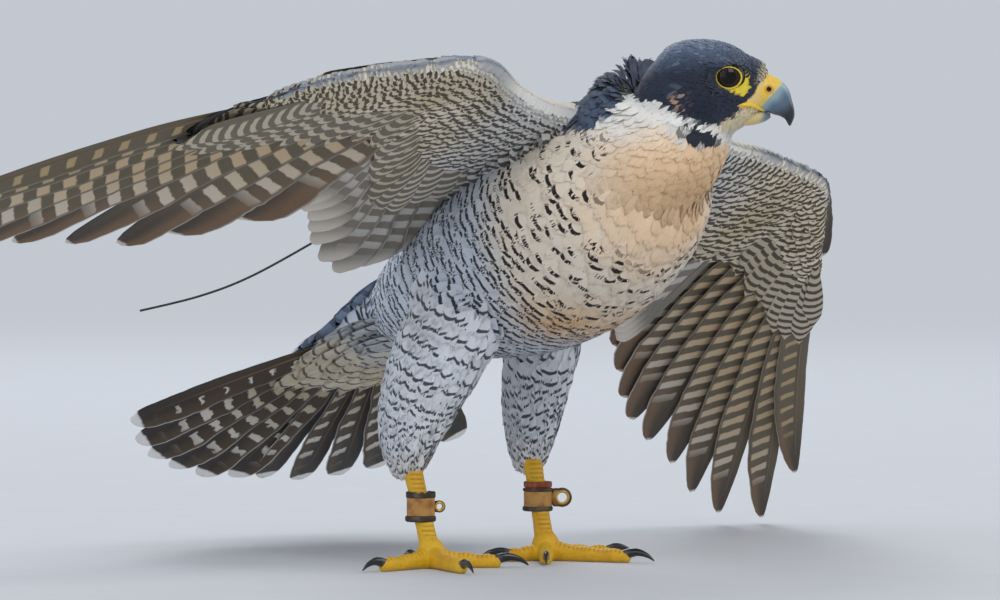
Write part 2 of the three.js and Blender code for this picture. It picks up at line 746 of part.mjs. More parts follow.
// A cuff round the shank with a rolled edge at top and bottom
function cuff(side, width, height, thickness) {
  const { centre, run } = shankAt(side, height);
  const inner = TARSUS_RADIUS + 0.35 + GAP;
  const outer = inner + thickness;
  const roll = 0.7;
  const half = width / 2;
  const profile = [
    [inner, -half], [outer + roll, -half], [outer, -half + 2.4],
    [outer, half - 2.4], [outer + roll, half], [inner, half], [inner, -half],
  ].map(([radius, height]) => new THREE.Vector2(radius, height));
  const ring = new THREE.LatheGeometry(profile, 14);
  const turn = new THREE.Quaternion().setFromUnitVectors(new THREE.Vector3(0, 1, 0), run);
  ring.applyQuaternion(turn).translate(...centre);
  return solidOf(ring);
}

// A flat tab that stands off the cuff and carries a round eyelet
function eyeletTab(side, angle, height, radius, hole, reach) {
  const { centre, run } = shankAt(side, height);
  const thickness = 1.8;
  const outline = new THREE.Shape();
  outline.moveTo(0, -radius).lineTo(reach, -radius);
  outline.absarc(reach, 0, radius, -Math.PI / 2, Math.PI / 2, false);
  outline.lineTo(0, radius);
  outline.closePath();
  const opening = new THREE.Path();
  opening.absarc(reach, 0, hole, 0, 2 * Math.PI, true);
  outline.holes.push(opening);
  const flatPlate = { depth: thickness, bevelEnabled: false, curveSegments: 7 };
  const tab = new THREE.ExtrudeGeometry(outline, flatPlate);
  tab.translate(0, 0, -thickness / 2);
  const out = vec([Math.cos(degrees(angle)), Math.sin(degrees(angle)), 0]);
  out.addScaledVector(run, -out.dot(run)).normalize();
  const flat = new THREE.Vector3().crossVectors(out, run);
  const start = centre.addScaledVector(out, TARSUS_RADIUS + 0.35 + GAP + 0.6);
  tab.applyMatrix4(new THREE.Matrix4().makeBasis(out, run, flat).setPosition(start));
  return solidOf(tab);
}

function makeAnklets() {
  const right = cuff("right", ANKLET_WIDTH, ANKLET_HEIGHT, ANKLET_THICKNESS);
  const rightTab = eyeletTab("right", -30, ANKLET_HEIGHT, 3, 1.5, 3.4);
  addNode("anklet_right", right.add(rightTab), COLOURS.leather, 0.6);
  const left = cuff("left", ANKLET_WIDTH, ANKLET_HEIGHT + 2, ANKLET_THICKNESS);
  const leftTab = eyeletTab("left", -38, ANKLET_HEIGHT + 2, 4.2, 2.8, 6.4);
  addNode("anklet_left", left.add(leftTab), COLOURS.leather, 0.6);
}

// The transmitter on the back and its whip, which leans back and to the right
const CASE_CENTRE = [0, 0, 205];
const CASE_SIZE = [13, 25, 10];
const WHIP = [
  [-1, 14, 206], [-20, 39, 196], [-43, 66, 178], [-63, 87, 161],
  [-86, 111, 143], [-105, 129, 133], [-127, 150, 125.5],
];
const WHIP_RADIUS = 0.6;

function makeTransmitter() {
  const tilt = degrees(-21);
  const box = new THREE.BoxGeometry(...CASE_SIZE);
  box.rotateX(tilt).translate(...CASE_CENTRE);
  const path = new THREE.CatmullRomCurve3(WHIP.map(vec));
  const section = new THREE.Shape();
  section.absarc(0, 0, WHIP_RADIUS, 0, 2 * Math.PI, false);
  const steps = 16;
  const rod = { steps, extrudePath: path, bevelEnabled: false, curveSegments: 4 };
  const whip = new THREE.ExtrudeGeometry(section, rod);
  addNode("transmitter", solidOf(box).subtract(torsoBody(GAP)), COLOURS.casing, 0.6);
  addNode("antenna", solidOf(whip), COLOURS.casing, 0.5);
}

addNode("torso", torsoBody().subtract(headBody(GAP)), COLOURS.breast);
addNode("neck", neckBody().subtract(torsoBody(GAP)).subtract(headBody(GAP)), COLOURS.breast);
makeHead();
for (const side of ["right", "left"]) {
  makeWing(side);
  makeLeg(side);
}
makeTail();
makeAnklets();
makeTransmitter();

// The origin is below the middle of the whole bird, on the floor
const reach = new THREE.Box3().setFromObject(falcon).getCenter(new THREE.Vector3());
falcon.position.set(-reach.x, -reach.y, 0);
falcon.updateMatrixWorld(true);

export default falcon;
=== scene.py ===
"""Peregrine falcon, life size, with its right wing held out, its left wing half folded and its tail spread.

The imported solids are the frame. Here one skin stands for the flesh, and the coat, the flight
feathers, the bill, the eyes, the feet and what the bird wears are modelled over it.
Driving sizes are millimetres in the bird's own frame: it faces -Y, its right side is -X, Z is up.
"""
import math

import bmesh
import bpy
import numpy as np
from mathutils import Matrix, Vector
from mathutils.bvhtree import BVHTree


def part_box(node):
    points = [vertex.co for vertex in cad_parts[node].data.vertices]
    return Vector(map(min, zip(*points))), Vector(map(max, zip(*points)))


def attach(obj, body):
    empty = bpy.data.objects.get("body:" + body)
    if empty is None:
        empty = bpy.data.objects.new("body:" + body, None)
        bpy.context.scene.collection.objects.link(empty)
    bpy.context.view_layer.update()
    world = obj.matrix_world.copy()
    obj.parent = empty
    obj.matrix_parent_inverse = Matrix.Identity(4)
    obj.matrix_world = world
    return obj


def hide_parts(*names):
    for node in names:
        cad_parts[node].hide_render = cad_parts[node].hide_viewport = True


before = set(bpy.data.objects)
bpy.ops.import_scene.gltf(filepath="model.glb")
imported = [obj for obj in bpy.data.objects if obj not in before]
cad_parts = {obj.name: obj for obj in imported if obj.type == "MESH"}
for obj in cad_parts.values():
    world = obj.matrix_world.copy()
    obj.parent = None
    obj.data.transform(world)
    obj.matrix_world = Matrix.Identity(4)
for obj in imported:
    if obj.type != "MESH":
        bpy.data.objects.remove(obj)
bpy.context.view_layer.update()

MM = 0.001
SEED = 20

# Head: centre of the skull, turned to the bird's left, level
HEAD_CENTRE = np.array([11.7, -122.4, 238.6])
HEAD_TURN = 52
EYE_FORWARD = 15.6
EYE_UP = 3.6
EYE_SIDE = 12.4
EYEBALL_RADIUS = 8.3
EYE_FLATNESS = 0.87

# Wings: wrist joint and the dorsal normal of each flat stretch
WRIST_RIGHT = [-144, -144, 246.3]
NORMAL_RIGHT = [-0.09, 0.48, 0.87]
WRIST_LEFT = [156.1, -50.2, 189.1]
NORMAL_LEFT_HAND = [0.204, 0.55, 0.81]
NORMAL_LEFT_ARM = [-0.036, 0.64, 0.767]

# Tail: its root, its pitch below level and its roll to the left
TAIL_ROOT = [0, 98, 124]
TAIL_PITCH = 36.2
TAIL_ROLL = 3.1

# Middle of each foot on the floor, top of each shank, and how high the anklets sit
FOOT = {"right": [-53, 4], "left": [25, 11]}
HOCK = {"right": [-54, 22, 60], "left": [28, 28, 60]}
ANKLET_HEIGHT = {"right": 30, "left": 32}

# How deep the coat is over each part of the flesh
COAT = {"trunk": 3.0, "head": 1.2, "thigh": 2.6, "wing": 1.8, "tail": 1.8}


def unit(v):
    v = np.asarray(v, float)
    return v / np.maximum(np.linalg.norm(v, axis=-1, keepdims=True), 1e-12)


def sine(angle):
    return math.sin(math.radians(angle))


def cosine(angle):
    return math.cos(math.radians(angle))


HEAD_FORWARD = np.array([sine(HEAD_TURN), -cosine(HEAD_TURN), 0])
HEAD_LEFT = np.array([cosine(HEAD_TURN), sine(HEAD_TURN), 0])
UP = np.array([0.0, 0.0, 1.0])


def head_point(forward, left, up):
    """Point or points of the head, from how far forward, left and up they are."""
    forward, left, up = (np.asarray(value, float)[..., None] for value in (forward, left, up))
    return HEAD_CENTRE + forward * HEAD_FORWARD + left * HEAD_LEFT + up * UP


def head_local(points):
    """How far forward, left and up points are in the head."""
    offset = points - HEAD_CENTRE
    return offset @ HEAD_FORWARD, offset @ HEAD_LEFT, offset @ UP


def eye_centre(side):
    return head_point(EYE_FORWARD, side * EYE_SIDE, EYE_UP)


# The row frame is the bird's frame moved level, by where the left eye lies in the frame
eye_box = np.array(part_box("eye_left"))
SHIFT = eye_box.mean(axis=0) / MM - eye_centre(1)
SHIFT[2] = 0


def to_row(points):
    return (np.asarray(points, float) + SHIFT) * MM


# Colours, written as sRGB from 0 to 255
def tint(red, green, blue):
    share = np.array([red, green, blue]) / 255
    return np.where(share <= 0.04045, share / 12.92, ((share + 0.055) / 1.055) ** 2.4)


SLATE = tint(84, 98, 122)
SLATE_DARK = tint(40, 49, 67)
# Rump: pale blue-grey as the bird's rump is, and paler still as painted rim light
RUMP_WITH_PAINTED_RIM_LIGHT = tint(156, 172, 196)
CROWN = tint(27, 36, 54)
# Painted sheen on the top of the crown
CROWN_PAINTED_SHEEN = tint(88, 106, 134)
WHITE = tint(238, 236, 230)
BUFF = tint(246, 214, 178)
CREAM = tint(241, 228, 210)
ORANGE_BUFF = tint(230, 184, 128)
FLANK = tint(210, 218, 230)
TROUSERS = tint(226, 231, 238)
MARK = tint(40, 35, 36)
MARK_SLATE = tint(54, 60, 72)
UNDERWING = tint(206, 194, 160)
UNDERWING_MARK = tint(66, 54, 40)
FLIGHT = tint(100, 90, 72)
EAR = tint(198, 154, 128)
SHAFT = tint(120, 98, 74)


# Curves and forms

def blend(a, b, share):
    share = np.clip(np.asarray(share, float), 0, 1)[..., None]
    return a * (1 - share) + b * share


def ramp(value, low, high):
    t = np.clip((np.asarray(value, float) - low) / (high - low), 0, 1)
    return t * t * (3 - 2 * t)


def along(rows, place):
    """Rows of driving numbers read as one smooth curve, at places from 0 to 1."""
    rows = np.asarray(rows, float)
    spans = len(rows) - 1
    scaled = np.clip(np.asarray(place, float), 0, 1) * spans
    index = np.minimum(scaled.astype(int), spans - 1)
    t = (scaled - index)[..., None]
    p, q, r, s = (rows[np.clip(index + step, 0, spans)] for step in (-1, 0, 1, 2))
    return 0.5 * (2 * q + (r - p) * t + (2 * p - 5 * q + 4 * r - s) * t**2 + (3 * q - p - 3 * r + s) * t**3)


def tube(rows, across, rings, sides, squareness=2.0, grow=0.0):
    """Rings of points along a curve: each row is x, y, z, half width, height above and below."""
    place = np.linspace(0, 1, rings)
    step = 1e-3
    centre = along(rows, place)[:, :3]
    tangent = unit(along(rows, place + step)[:, :3] - along(rows, place - step)[:, :3])
    side = unit(np.asarray(across) - (tangent @ np.asarray(across, float))[:, None] * tangent)
    up = np.cross(tangent, side)
    sizes = np.maximum(along(rows, place)[:, 3:6] + grow, 0.3)
    centre[0] -= tangent[0] * grow
    centre[-1] += tangent[-1] * grow
    turn = np.linspace(0, 2 * math.pi, sides, endpoint=False)
    c, s = np.cos(turn), np.sin(turn)
    x = np.sign(c) * np.abs(c) ** (2 / squareness)
    y = np.sign(s) * np.abs(s) ** (2 / squareness)
    height = np.where(s[None, :] > 0, sizes[:, 1:2], sizes[:, 2:3])
    return (centre[:, None] + side[:, None] * (x * sizes[:, :1])[..., None]
            + up[:, None] * (y * height)[..., None])


def grid_faces(rings, sides, closed=True):
    """Quads of a grid of points, closed round each ring or not."""
    r = np.arange(rings - 1)[:, None]
    s = np.arange(sides if closed else sides - 1)[None, :]
    a = r * sides + s
    b = r * sides + (s + 1) % sides
    return np.stack([a, b, b + sides, a + sides], axis=-1).reshape(-1, 4)


def loop_faces(rings, sides):
    """Quads of a grid of points that closes round each ring, and from the last ring to the first."""
    r, k = np.arange(rings)[:, None], np.arange(sides)[None]
    after, beside = (r + 1) % rings, (k + 1) % sides
    quads = np.stack([r * sides + k, r * sides + beside, after * sides + beside, after * sides + k], axis=-1)
    return [tuple(quad) for quad in quads.reshape(-1, 4)]


def capped(rings):
    """Points and faces of a closed body through rings of points."""
    count, sides = rings.shape[:2]
    points = rings.reshape(-1, 3)
    faces = [tuple(face) for face in grid_faces(count, sides)]
    faces.append(tuple(range(sides))[::-1])
    faces.append(tuple(range((count - 1) * sides, count * sides)))
    return points, faces


def merge(parts):
    """Several bodies, each points and faces, as one."""
    points, faces, first = [], [], 0
    for part_points, part_faces in parts:
        points.append(part_points)
        faces += [tuple(int(i) + first for i in face) for face in part_faces]
        first += len(part_points)
    return np.vstack(points), faces


def new_object(name, points, faces):
    """A mesh object in the row frame from points in the bird's frame."""
    mesh = bpy.data.meshes.new(name)
    mesh.from_pydata(to_row(points).tolist(), [], [tuple(map(int, face)) for face in faces])
    mesh.validate()
    mesh.polygons.foreach_set("use_smooth", [True] * len(mesh.polygons))
    obj = bpy.data.objects.new(name, mesh)
    bpy.context.scene.collection.objects.link(obj)
    return obj


def outward(obj):
    """Turns a closed mesh's faces outwards."""
    bm = bmesh.new()
    bm.from_mesh(obj.data)
    bmesh.ops.recalc_face_normals(bm, faces=bm.faces)
    bm.to_mesh(obj.data)
    bm.free()


def remeshed(obj, voxel, rounds):
    """Joins an object's bodies into one even mesh, which is smoothed a number of rounds."""
    remesh = obj.modifiers.new("remesh", "REMESH")
    remesh.mode = "VOXEL"
    remesh.voxel_size = voxel * MM
    smooth = obj.modifiers.new("smooth", "SMOOTH")
    smooth.factor = 0.6
    smooth.iterations = rounds
    graph = bpy.context.evaluated_depsgraph_get()
    mesh = bpy.data.meshes.new_from_object(obj.evaluated_get(graph))
    obj.modifiers.clear()
    old = obj.data
    obj.data = mesh
    bpy.data.meshes.remove(old)
    mesh.polygons.foreach_set("use_smooth", [True] * len(mesh.polygons))


def mesh_points(obj):
    flat = np.empty(len(obj.data.vertices) * 3)
    obj.data.vertices.foreach_get("co", flat)
    return flat.reshape(-1, 3) / MM - SHIFT


def set_points(obj, points):
    obj.data.vertices.foreach_set("co", to_row(points).ravel())
    obj.data.update()


def mesh_normals(obj):
    flat = np.empty(len(obj.data.vertices) * 3)
    obj.data.vertices.foreach_get("normal", flat)
    return flat.reshape(-1, 3)


def paint(obj, name, values):
    """A named colour or vector on each vertex, for the materials to read."""
    values = np.asarray(values, float)
    attribute = obj.data.attributes.new(name, "FLOAT_VECTOR", "POINT")
    attribute.data.foreach_set("vector", np.ascontiguousarray(values[:, :3]).ravel())


def finished(obj, material, slot, *nodes):
    """Material, body and the solids that the piece stands for. The slot is not used."""
    obj.data.materials.clear()
    obj.data.materials.append(material)
    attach(obj, "root")
    if nodes:
        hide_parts(*nodes)
    return obj


# Flesh

TORSO_ROWS = [
    [0, 100, 123, 25, 17, 19],
    [0, 66, 134, 40, 29, 36],
    [0, 32, 147, 50, 37, 50],
    [0, -5, 161, 57, 42, 60],
    [0, -42, 177, 60, 45, 63],
    [0, -75, 191, 55, 41, 56],
    [0, -98, 202, 43, 31, 42],
    [0, -112, 209, 24, 16, 22],
]
NECK_ROWS = [
    [0, -80, 196, 44, 40, 42],
    [2, -98, 205, 41, 43, 36],
    [5, -110, 213, 35, 41, 33],
    [8, -117, 222, 28, 35, 30],
    [9.5, -121, 232, 21, 28, 25],
]
HEAD_ROWS = [
    [-28, -2, 6, 5, 6],
    [-24, -3, 14, 12, 14],
    [-16, -4, 20.5, 22, 20],
    [-6, -4, 23.5, 26, 22],
    [5, -3.5, 24, 26.5, 22.5],
    [15, -3, 21.5, 24.5, 21.5],
    [24, -2.5, 16, 20.2, 17],
    [31, -1.5, 11, 15.2, 10.5],
    [35.5, -1.5, 8, 10.6, 6.5],
]
THIGH_ROWS = {
    "right": [
        [-32, -4, 142, 20, 30, 30],
        [-42, 6, 112, 21, 30, 30],
        [-49, 15, 88, 20, 25, 27],
        [-53, 20, 68, 16, 20, 23],
        [-54, 22, 53, 11, 13, 17],
        [-54, 24, 43, 5, 6, 9],
    ],
    "left": [
        [28, 12, 142, 20, 28, 30],
        [32, 22, 112, 19, 25, 27],
        [32, 27, 88, 16, 22, 24],
        [30, 28, 68, 14, 17, 20],
        [29, 29, 53, 10, 12, 15],
        [28, 30, 43, 5, 6, 8],
    ],
}


def head_rows(rows):
    """Rows given by how far forward and up they are, as rows of x, y and z."""
    return [[*head_point(forward, 0, up), *sizes] for forward, up, *sizes in rows]


def sheet(origin, normal, outward_sign):
    """A flat stretch of wing or tail: origin, directions outwards, backwards and dorsal."""
    n = unit(normal)
    c = unit(np.array([0.0, 1, 0]) - n[1] * n)
    a = np.cross(c, n) * outward_sign
    return {"origin": np.asarray(origin, float), "a": a, "c": c, "n": n}


def on_sheet(flat, values):
    a, c, n = (*values, 0)[:3]
    return flat["origin"] + a * flat["a"] + c * flat["c"] + n * flat["n"]


def fanned(distance, angle):
    return [distance * cosine(angle), distance * sine(angle)]


RIGHT_PRIMARIES = [
    [152, 70], [172, 60], [190, 53], [206, 43.5], [227, 35],
    [252, 31.2], [278, 27.8], [300, 24.5], [312, 21.2], [303, 19.4],
]
LEFT_PRIMARIES = [
    [164, 89], [182, 84], [203, 79.6], [221, 76], [238, 71.7],
    [259, 66.8], [288, 62.8], [311, 59], [320, 54.4], [276, 51.4],
]
WINGS = {
    "right": {
        "hand": sheet(WRIST_RIGHT, NORMAL_RIGHT, -1),
        "arm": sheet(WRIST_RIGHT, NORMAL_RIGHT, -1),
        "turn": 1,
        "primaries": RIGHT_PRIMARIES,
        "hand_roots": [[6, 8, 0], [72, 6, 1]],
        "alula": [[[10, 0], [64, 0]], [[10, -1], [76, -2]], [[10, -2], [88, -4]]],
        "bow": 11,
        "tips": ("secondary", "primary"),
        "web": 20,
        "first_web": 11,
        "web_taper": 8,
        "cover": 1.0,
        "rim_width": 9,
        "secondaries": 11,
        "stack": 7.2,
        "arm_roots": [[0, 12, 1], [-14, 54, 0], [-34, 94, -2], [-72, 104, -4]],
        "arm_tips": [
            [17.5, 135, -2], [-4, 157, -2.5], [-24, 187, -3], [-62, 226, -4], [-84, 210, -5], [-100, 188, -6],
        ],
        "core": [
            ["arm", [-126, 72, 2], [-112, 118, 4], 20],
            ["arm", [-92, 58, 3], [-86, 140, 5], 17],
            ["arm", [-58, 35, 4], [-52, 130, 6], 15],
            ["arm", [-26, 7, 4], [-19, 100, 6], 13],
            ["hand", [0, -7, 2], [10, 64, 4], 12],
            ["hand", [32, -10, 1], [42, 50, 1], 11],
            ["hand", [64, -12, 0], [74, 40, -1], 10],
            ["hand", [92, -8, -1], [100, 28, -2], 8],
            ["hand", [112, 1, -2], [118, 22, -2.5], 5],
        ],
    },
    "left": {
        "hand": sheet(WRIST_LEFT, NORMAL_LEFT_HAND, 1),
        "arm": sheet(WRIST_LEFT, NORMAL_LEFT_ARM, 1),
        "turn": -1,
        "primaries": LEFT_PRIMARIES,
        "hand_roots": [[4, 12, 0], [42, 54, 0]],
        "alula": [[[6, 6], [35, 46]], [[6, 4], [41, 49]], [[6, 3], [47, 51]]],
        "bow": -3,
        "tips": ("primary", "pointed"),
        "web": 26,
        "first_web": 3,
        "web_taper": 13,
        "cover": 0.84,
        "rim_width": -7,
        "secondaries": 12,
        "stack": 4.8,
        "arm_roots": [[-4, 10, 2], [-94, 2, 3]],
        "arm_tips": [[-36, 144, 12], [-54, 121, 7], [-69, 97, 3], [-93, 77, 1]],
        "core": [
            ["arm", [-136, -52, 4], [-136, 10, 4], 22],
            ["arm", [-104, -44, 5], [-106, 30, 7], 18],
            ["arm", [-62, -32, 5], [-66, 48, 7], 15],
            ["arm", [-24, -18, 3], [-26, 60, 6], 13],
            ["hand", [0, -6, 1], [4, 66, 3], 12],
            ["hand", [19, 17, 0], [26, 76, 1], 11],
            ["hand", [38, 44, -1], [50, 86, -1], 10],
            ["hand", [54, 65, -2], [66, 91, -2], 8],
            ["hand", [64, 78, -2.5], [74, 92, -2.5], 5],
        ],
    },
}

TAIL = sheet(TAIL_ROOT, [
    sine(TAIL_ROLL),
    sine(TAIL_PITCH) * cosine(TAIL_ROLL),
    cosine(TAIL_PITCH) * cosine(TAIL_ROLL),
], 1)
TAIL_HALF_ANGLE = 45.5
TAIL_LENGTHS = [156, 158, 158, 157, 154, 150]
TAIL_CORE_ROWS = [
    [0, -16, -1, 26, 16, 17],
    [0, 12, 0, 30, 13, 14],
    [0, 34, 0, 31, 9, 9.5],
    [0, 52, 0, 29, 5, 6],
    [0, 64, 0, 26, 2.4, 2.4],
]

# Height of a wing's section above or below its chord, from the leading edge back
SECTION = (
    [0, 0.02, 0.05, 0.1, 0.2, 0.38, 0.55, 0.72, 0.86, 1],
    [0, 0.33, 0.52, 0.72, 0.9, 1, 0.9, 0.7, 0.45, 0.15],
)


def wing_rows(wing):
    """Leading point, trailing point, normal and thickness of the wing, row by row, in space."""
    return [[*on_sheet(wing[part], leading), *on_sheet(wing[part], trailing), *wing[part]["n"], thickness]
            for part, leading, trailing, thickness in wing["core"]]


def wing_surface(rows, s, place, face, inset):
    """A point on the upper (face 1) or lower (face -1) side of the wing's flesh."""
    values = along(rows, s)
    leading, trailing, normal = values[..., :3], values[..., 3:6], unit(values[..., 6:9])
    height = np.maximum(np.interp(place, *SECTION) * values[..., 9] / 2 - inset, 0.25)
    chord = trailing - leading
    inward = inset / np.linalg.norm(chord, axis=-1)
    spot = inward + np.asarray(place) * (1 - 2 * inward)
    return leading + spot[..., None] * chord + (face * height)[..., None] * normal


def wing_flesh(side):
    rows = wing_rows(WINGS[side])
    sections = []
    places = np.array([0.02, 0.06, 0.12, 0.22, 0.38, 0.55, 0.72, 0.88, 1])
    for s in np.linspace(0, 1, 33):
        spread = np.full(len(places), s)
        above = wing_surface(rows, spread, places, np.ones(len(places)), COAT["wing"])
        below = wing_surface(rows, spread, places, -np.ones(len(places)), COAT["wing"])
        sections.append(np.vstack([above, below[::-1]]))
    return capped(np.array(sections))


def trunk_parts():
    """Flesh of torso and neck, without the depth of their coat."""
    depth = COAT["trunk"]
    return [
        capped(tube(TORSO_ROWS, [1, 0, 0], 40, 56, grow=-depth)),
        capped(tube(NECK_ROWS, [1, 0, 0], 24, 48, grow=-depth)),
    ]


def head_parts():
    rows = head_rows(HEAD_ROWS)
    return [capped(tube(rows, HEAD_LEFT, 44, 56, squareness=2.1, grow=-COAT["head"]))]


def thigh_parts(side):
    return [capped(tube(THIGH_ROWS[side], [1, 0, 0], 30, 36, grow=-COAT["thigh"]))]


# Fineness of the meshes of the skin and of the legs
SKIN_VOXEL = 1.5
LEG_VOXEL = 0.55


def make_skin():
    """One skin over head, neck, torso, thighs, tail root and the flesh of the wings."""
    tail_rows = [[*on_sheet(TAIL, [a, c, n]), *sizes] for a, c, n, *sizes in TAIL_CORE_ROWS][::-1]
    parts = [
        *trunk_parts(),
        *head_parts(),
        capped(tube(tail_rows, TAIL["a"], 24, 32, grow=-COAT["tail"])),
        *thigh_parts("right"),
        *thigh_parts("left"),
        *[wing_flesh(side) for side in WINGS],
    ]
    obj = new_object("skin", *merge(parts))
    outward(obj)
    remeshed(obj, SKIN_VOXEL, 8)
    shape_face(obj)
    return obj


# The rim of the dark plumage on each side of the head: how far forward, and how high it reaches down
CAP_RIM = (
    [-30, -24.6, -13.5, -8, -0.5, 5, 12.5, 18, 22.2, 26, 40],
    [-5, -5.2, -7, -10.7, -15.4, -18.1, -17.2, -14.4, -12.1, -9.5, -9],
)
# Where the bare skin of the bill begins: height in the head, and how far forward its rear edge is
BARE_EDGE = ([-9.8, -6.1, 0.4, 5, 9], [20.5, 26.4, 31, 36.4, 40])
# The lower edge of the brow over each eye: how far forward, and how high
BROW_LINE = ([2, 8, 13.4, 20, 25, 29], [9.8, 8.7, 8.7, 8.5, 6.8, 2.9])
# The bare skin in front of each eye: forward, up, half length and half height
BARE_PATCH = (22.2, 0.9, 5.8, 6.4)
# The opening of the lids: half its width, and its height above and below the eye as a share of that
LID_MIDDLE = 6.1
LID_ABOVE = 0.79
LID_BELOW = 0.9


def eye_distance(forward, up):
    return np.hypot(forward - EYE_FORWARD, up - EYE_UP)


def lid_distance(forward, up):
    """Distance from the eye in a measure that makes the edge of the lids a circle."""
    rise = up - EYE_UP
    return np.hypot(forward - EYE_FORWARD, rise / np.where(rise > 0, LID_ABOVE, LID_BELOW))


def in_bare_patch(forward, up):
    """Bare skin round the front of the eye, below the brow."""
    patch = np.hypot((forward - BARE_PATCH[0]) / BARE_PATCH[2], (up - BARE_PATCH[1]) / BARE_PATCH[3])
    beside_lids = (lid_distance(forward, up) < LID_MIDDLE + 2.4) & (forward > EYE_FORWARD + 1)
    return ((patch < 1) | beside_lids) & (up < np.interp(forward, *BROW_LINE) - 0.4)


def in_bare_bill(forward, up):
    """Bare skin at the base of the bill, above the line of the mouth."""
    return (forward > np.interp(up, *BARE_EDGE)) & (up > -10.5)


def shape_face(skin):
    """Sinks the skin round each eye and raises the brow over it."""
    points = mesh_points(skin)
    forward, left, up = head_local(points)
    near = (np.abs(forward) < 45) & (np.abs(left) < 40) & (np.abs(up) < 35)
    side = np.sign(left)
    distance = lid_distance(forward, up)
    outside = np.abs(left)
    bowl = np.interp(distance, [0, 4.5, 5.9, 6.8, 8.6, 11], [9, 12, 17.2, 18.6, 19.6, 40])
    below_brow = up < np.interp(forward, *BROW_LINE)
    sunk = near & (outside > 8) & (distance < 11) & below_brow
    outside = np.where(sunk, np.minimum(outside, bowl), outside)
    over = up - np.interp(forward, *BROW_LINE)
    brow = np.exp(-(((over - 1.4) / 1.5) ** 2)) * (over > -0.6)
    brow *= ramp(forward, 3, 10) * (1 - ramp(forward, 25, 31))
    outside = np.where(near & (outside > 8), outside + 1.5 * brow, outside)
    moved = head_point(forward, side * outside, up)
    set_points(skin, np.where(near[:, None], moved, points))


skin = make_skin()


# Markings, which skin and coat share. Each is a function of place on the body.

def ripple(points, size, phase=0.0):
    """A smooth uneven number from -1 to 1 that varies over the body."""
    x, y, z = (points / size).T
    return (np.sin(1.7 * x + 0.8 * y + phase) + np.sin(1.3 * y - 0.9 * z + 1.7 * phase)
            + np.sin(1.1 * z + 1.5 * x + 0.6 * phase)) / 3


def blank_marks(count):
    """Mark shape for feathers: period, thickness, bend, first place, half width and strength."""
    return {
        "form": np.zeros((count, 3)),
        "place": np.zeros((count, 3)),
        "mark_tone": np.tile(MARK, (count, 1)),
    }


# Height of the edge of the dark mantle along the body: where along Y, and how high
MANTLE_EDGE = ([-112, -106, -65, -42, -5, 32, 66, 100], [242, 221.5, 221, 206, 187, 169, 151, 133])
# The breast is plain in front of this place
PLAIN_BREAST = -111.5
# A dark tuft low on the throat: its middle, half width and half height
THROAT_TUFT = ([3.5, 221], [8, 4])


def trunk_look(points, rng=None):
    """Colour and marks of torso and neck: buff breast, dashed belly, barred flanks, slate mantle."""
    x, y, z = points.T
    count = len(points)
    chance = rng.uniform(0, 1, (4, count)) if rng is not None else np.full((4, count), 0.5)
    waves = ripple(points, 17)
    fine = ripple(points, 6.5, 3.0)
    mantle = ramp(z - np.interp(y, *MANTLE_EDGE) + 1.6 * fine, -1.6, 1.6)
    breast = ramp(-y + 1.5 * waves + 1.0 * fine, -PLAIN_BREAST - 3, -PLAIN_BREAST + 2)
    blush = ramp(-y + 4 * waves, -PLAIN_BREAST - 14, -PLAIN_BREAST + 12)
    flank = ramp(y, -92, -56)
    bluish = ramp(y + 6 * waves, -78, -44)
    glow = np.exp(-(((np.abs(x) - 20) / 26) ** 2) - (((y + 70) / 24) ** 2) - (((z - 128) / 15) ** 2))
    collar = ramp(z + 2.5 * fine, 213, 229) * ramp(-y, 98, 108)
    front = blend(BUFF, ORANGE_BUFF, 0.7 * np.exp(-(((z - 192) / 20) ** 2)) + 0.2 * waves)
    under = blend(blend(CREAM, FLANK, bluish), front, blush)
    under = blend(under, ORANGE_BUFF, 0.8 * glow + 0.12 * ramp(waves, 0, 1) * (1 - bluish))
    under = blend(under, WHITE, collar)
    upper = blend(SLATE, SLATE_DARK, 0.4 + 0.35 * waves)
    # The rump is paler blue-grey, partly its own colour and partly painted rim light
    upper = blend(upper, RUMP_WITH_PAINTED_RIM_LIGHT, 0.8 * ramp(y + 5 * waves, 24, 62))
    tone = blend(under, upper, mantle)
    (tuft_x, tuft_z), (wide, high) = THROAT_TUFT
    tuft = np.hypot((x - tuft_x) / wide, (z - tuft_z) / high) + 0.2 * fine + 0.7 * (chance[3] - 0.5)
    tone = blend(tone, WHITE * 0.82, (1 - ramp(tuft, 1.2, 1.7)) * (y < -125) * ramp(z, 212, 216))
    tone = blend(tone, tint(44, 46, 56), (1 - ramp(tuft, 0.85, 1.15)) * (y < -125))
    marks = blank_marks(count)
    shown = chance[0] < 0.5 + 0.5 * flank
    marks["form"][:, 0] = 9
    marks["form"][:, 1] = 2.4 - 0.4 * flank + 0.5 * (chance[1] - 0.5)
    marks["form"][:, 2] = 1.3 - 0.7 * flank + (1.2 - 0.5 * flank) * (chance[2] - 0.5)
    marks["place"][:, 0] = 2.9 + (1.2 - 0.6 * flank) * chance[3]
    marks["place"][:, 1] = 2.7 + 1.5 * chance[2] + 4.0 * flank
    marks["place"][:, 2] = shown * (1 - breast) * (1 - collar) * (1 - mantle)
    marks["mark_tone"] = blend(MARK, MARK_SLATE, 0.7 * bluish)
    back = mantle > 0.5
    marks["form"][back] = (9, 3, 1)
    marks["place"][back] = (5, 9, 0.6)
    marks["mark_tone"][back] = SLATE_DARK
    return tone, marks


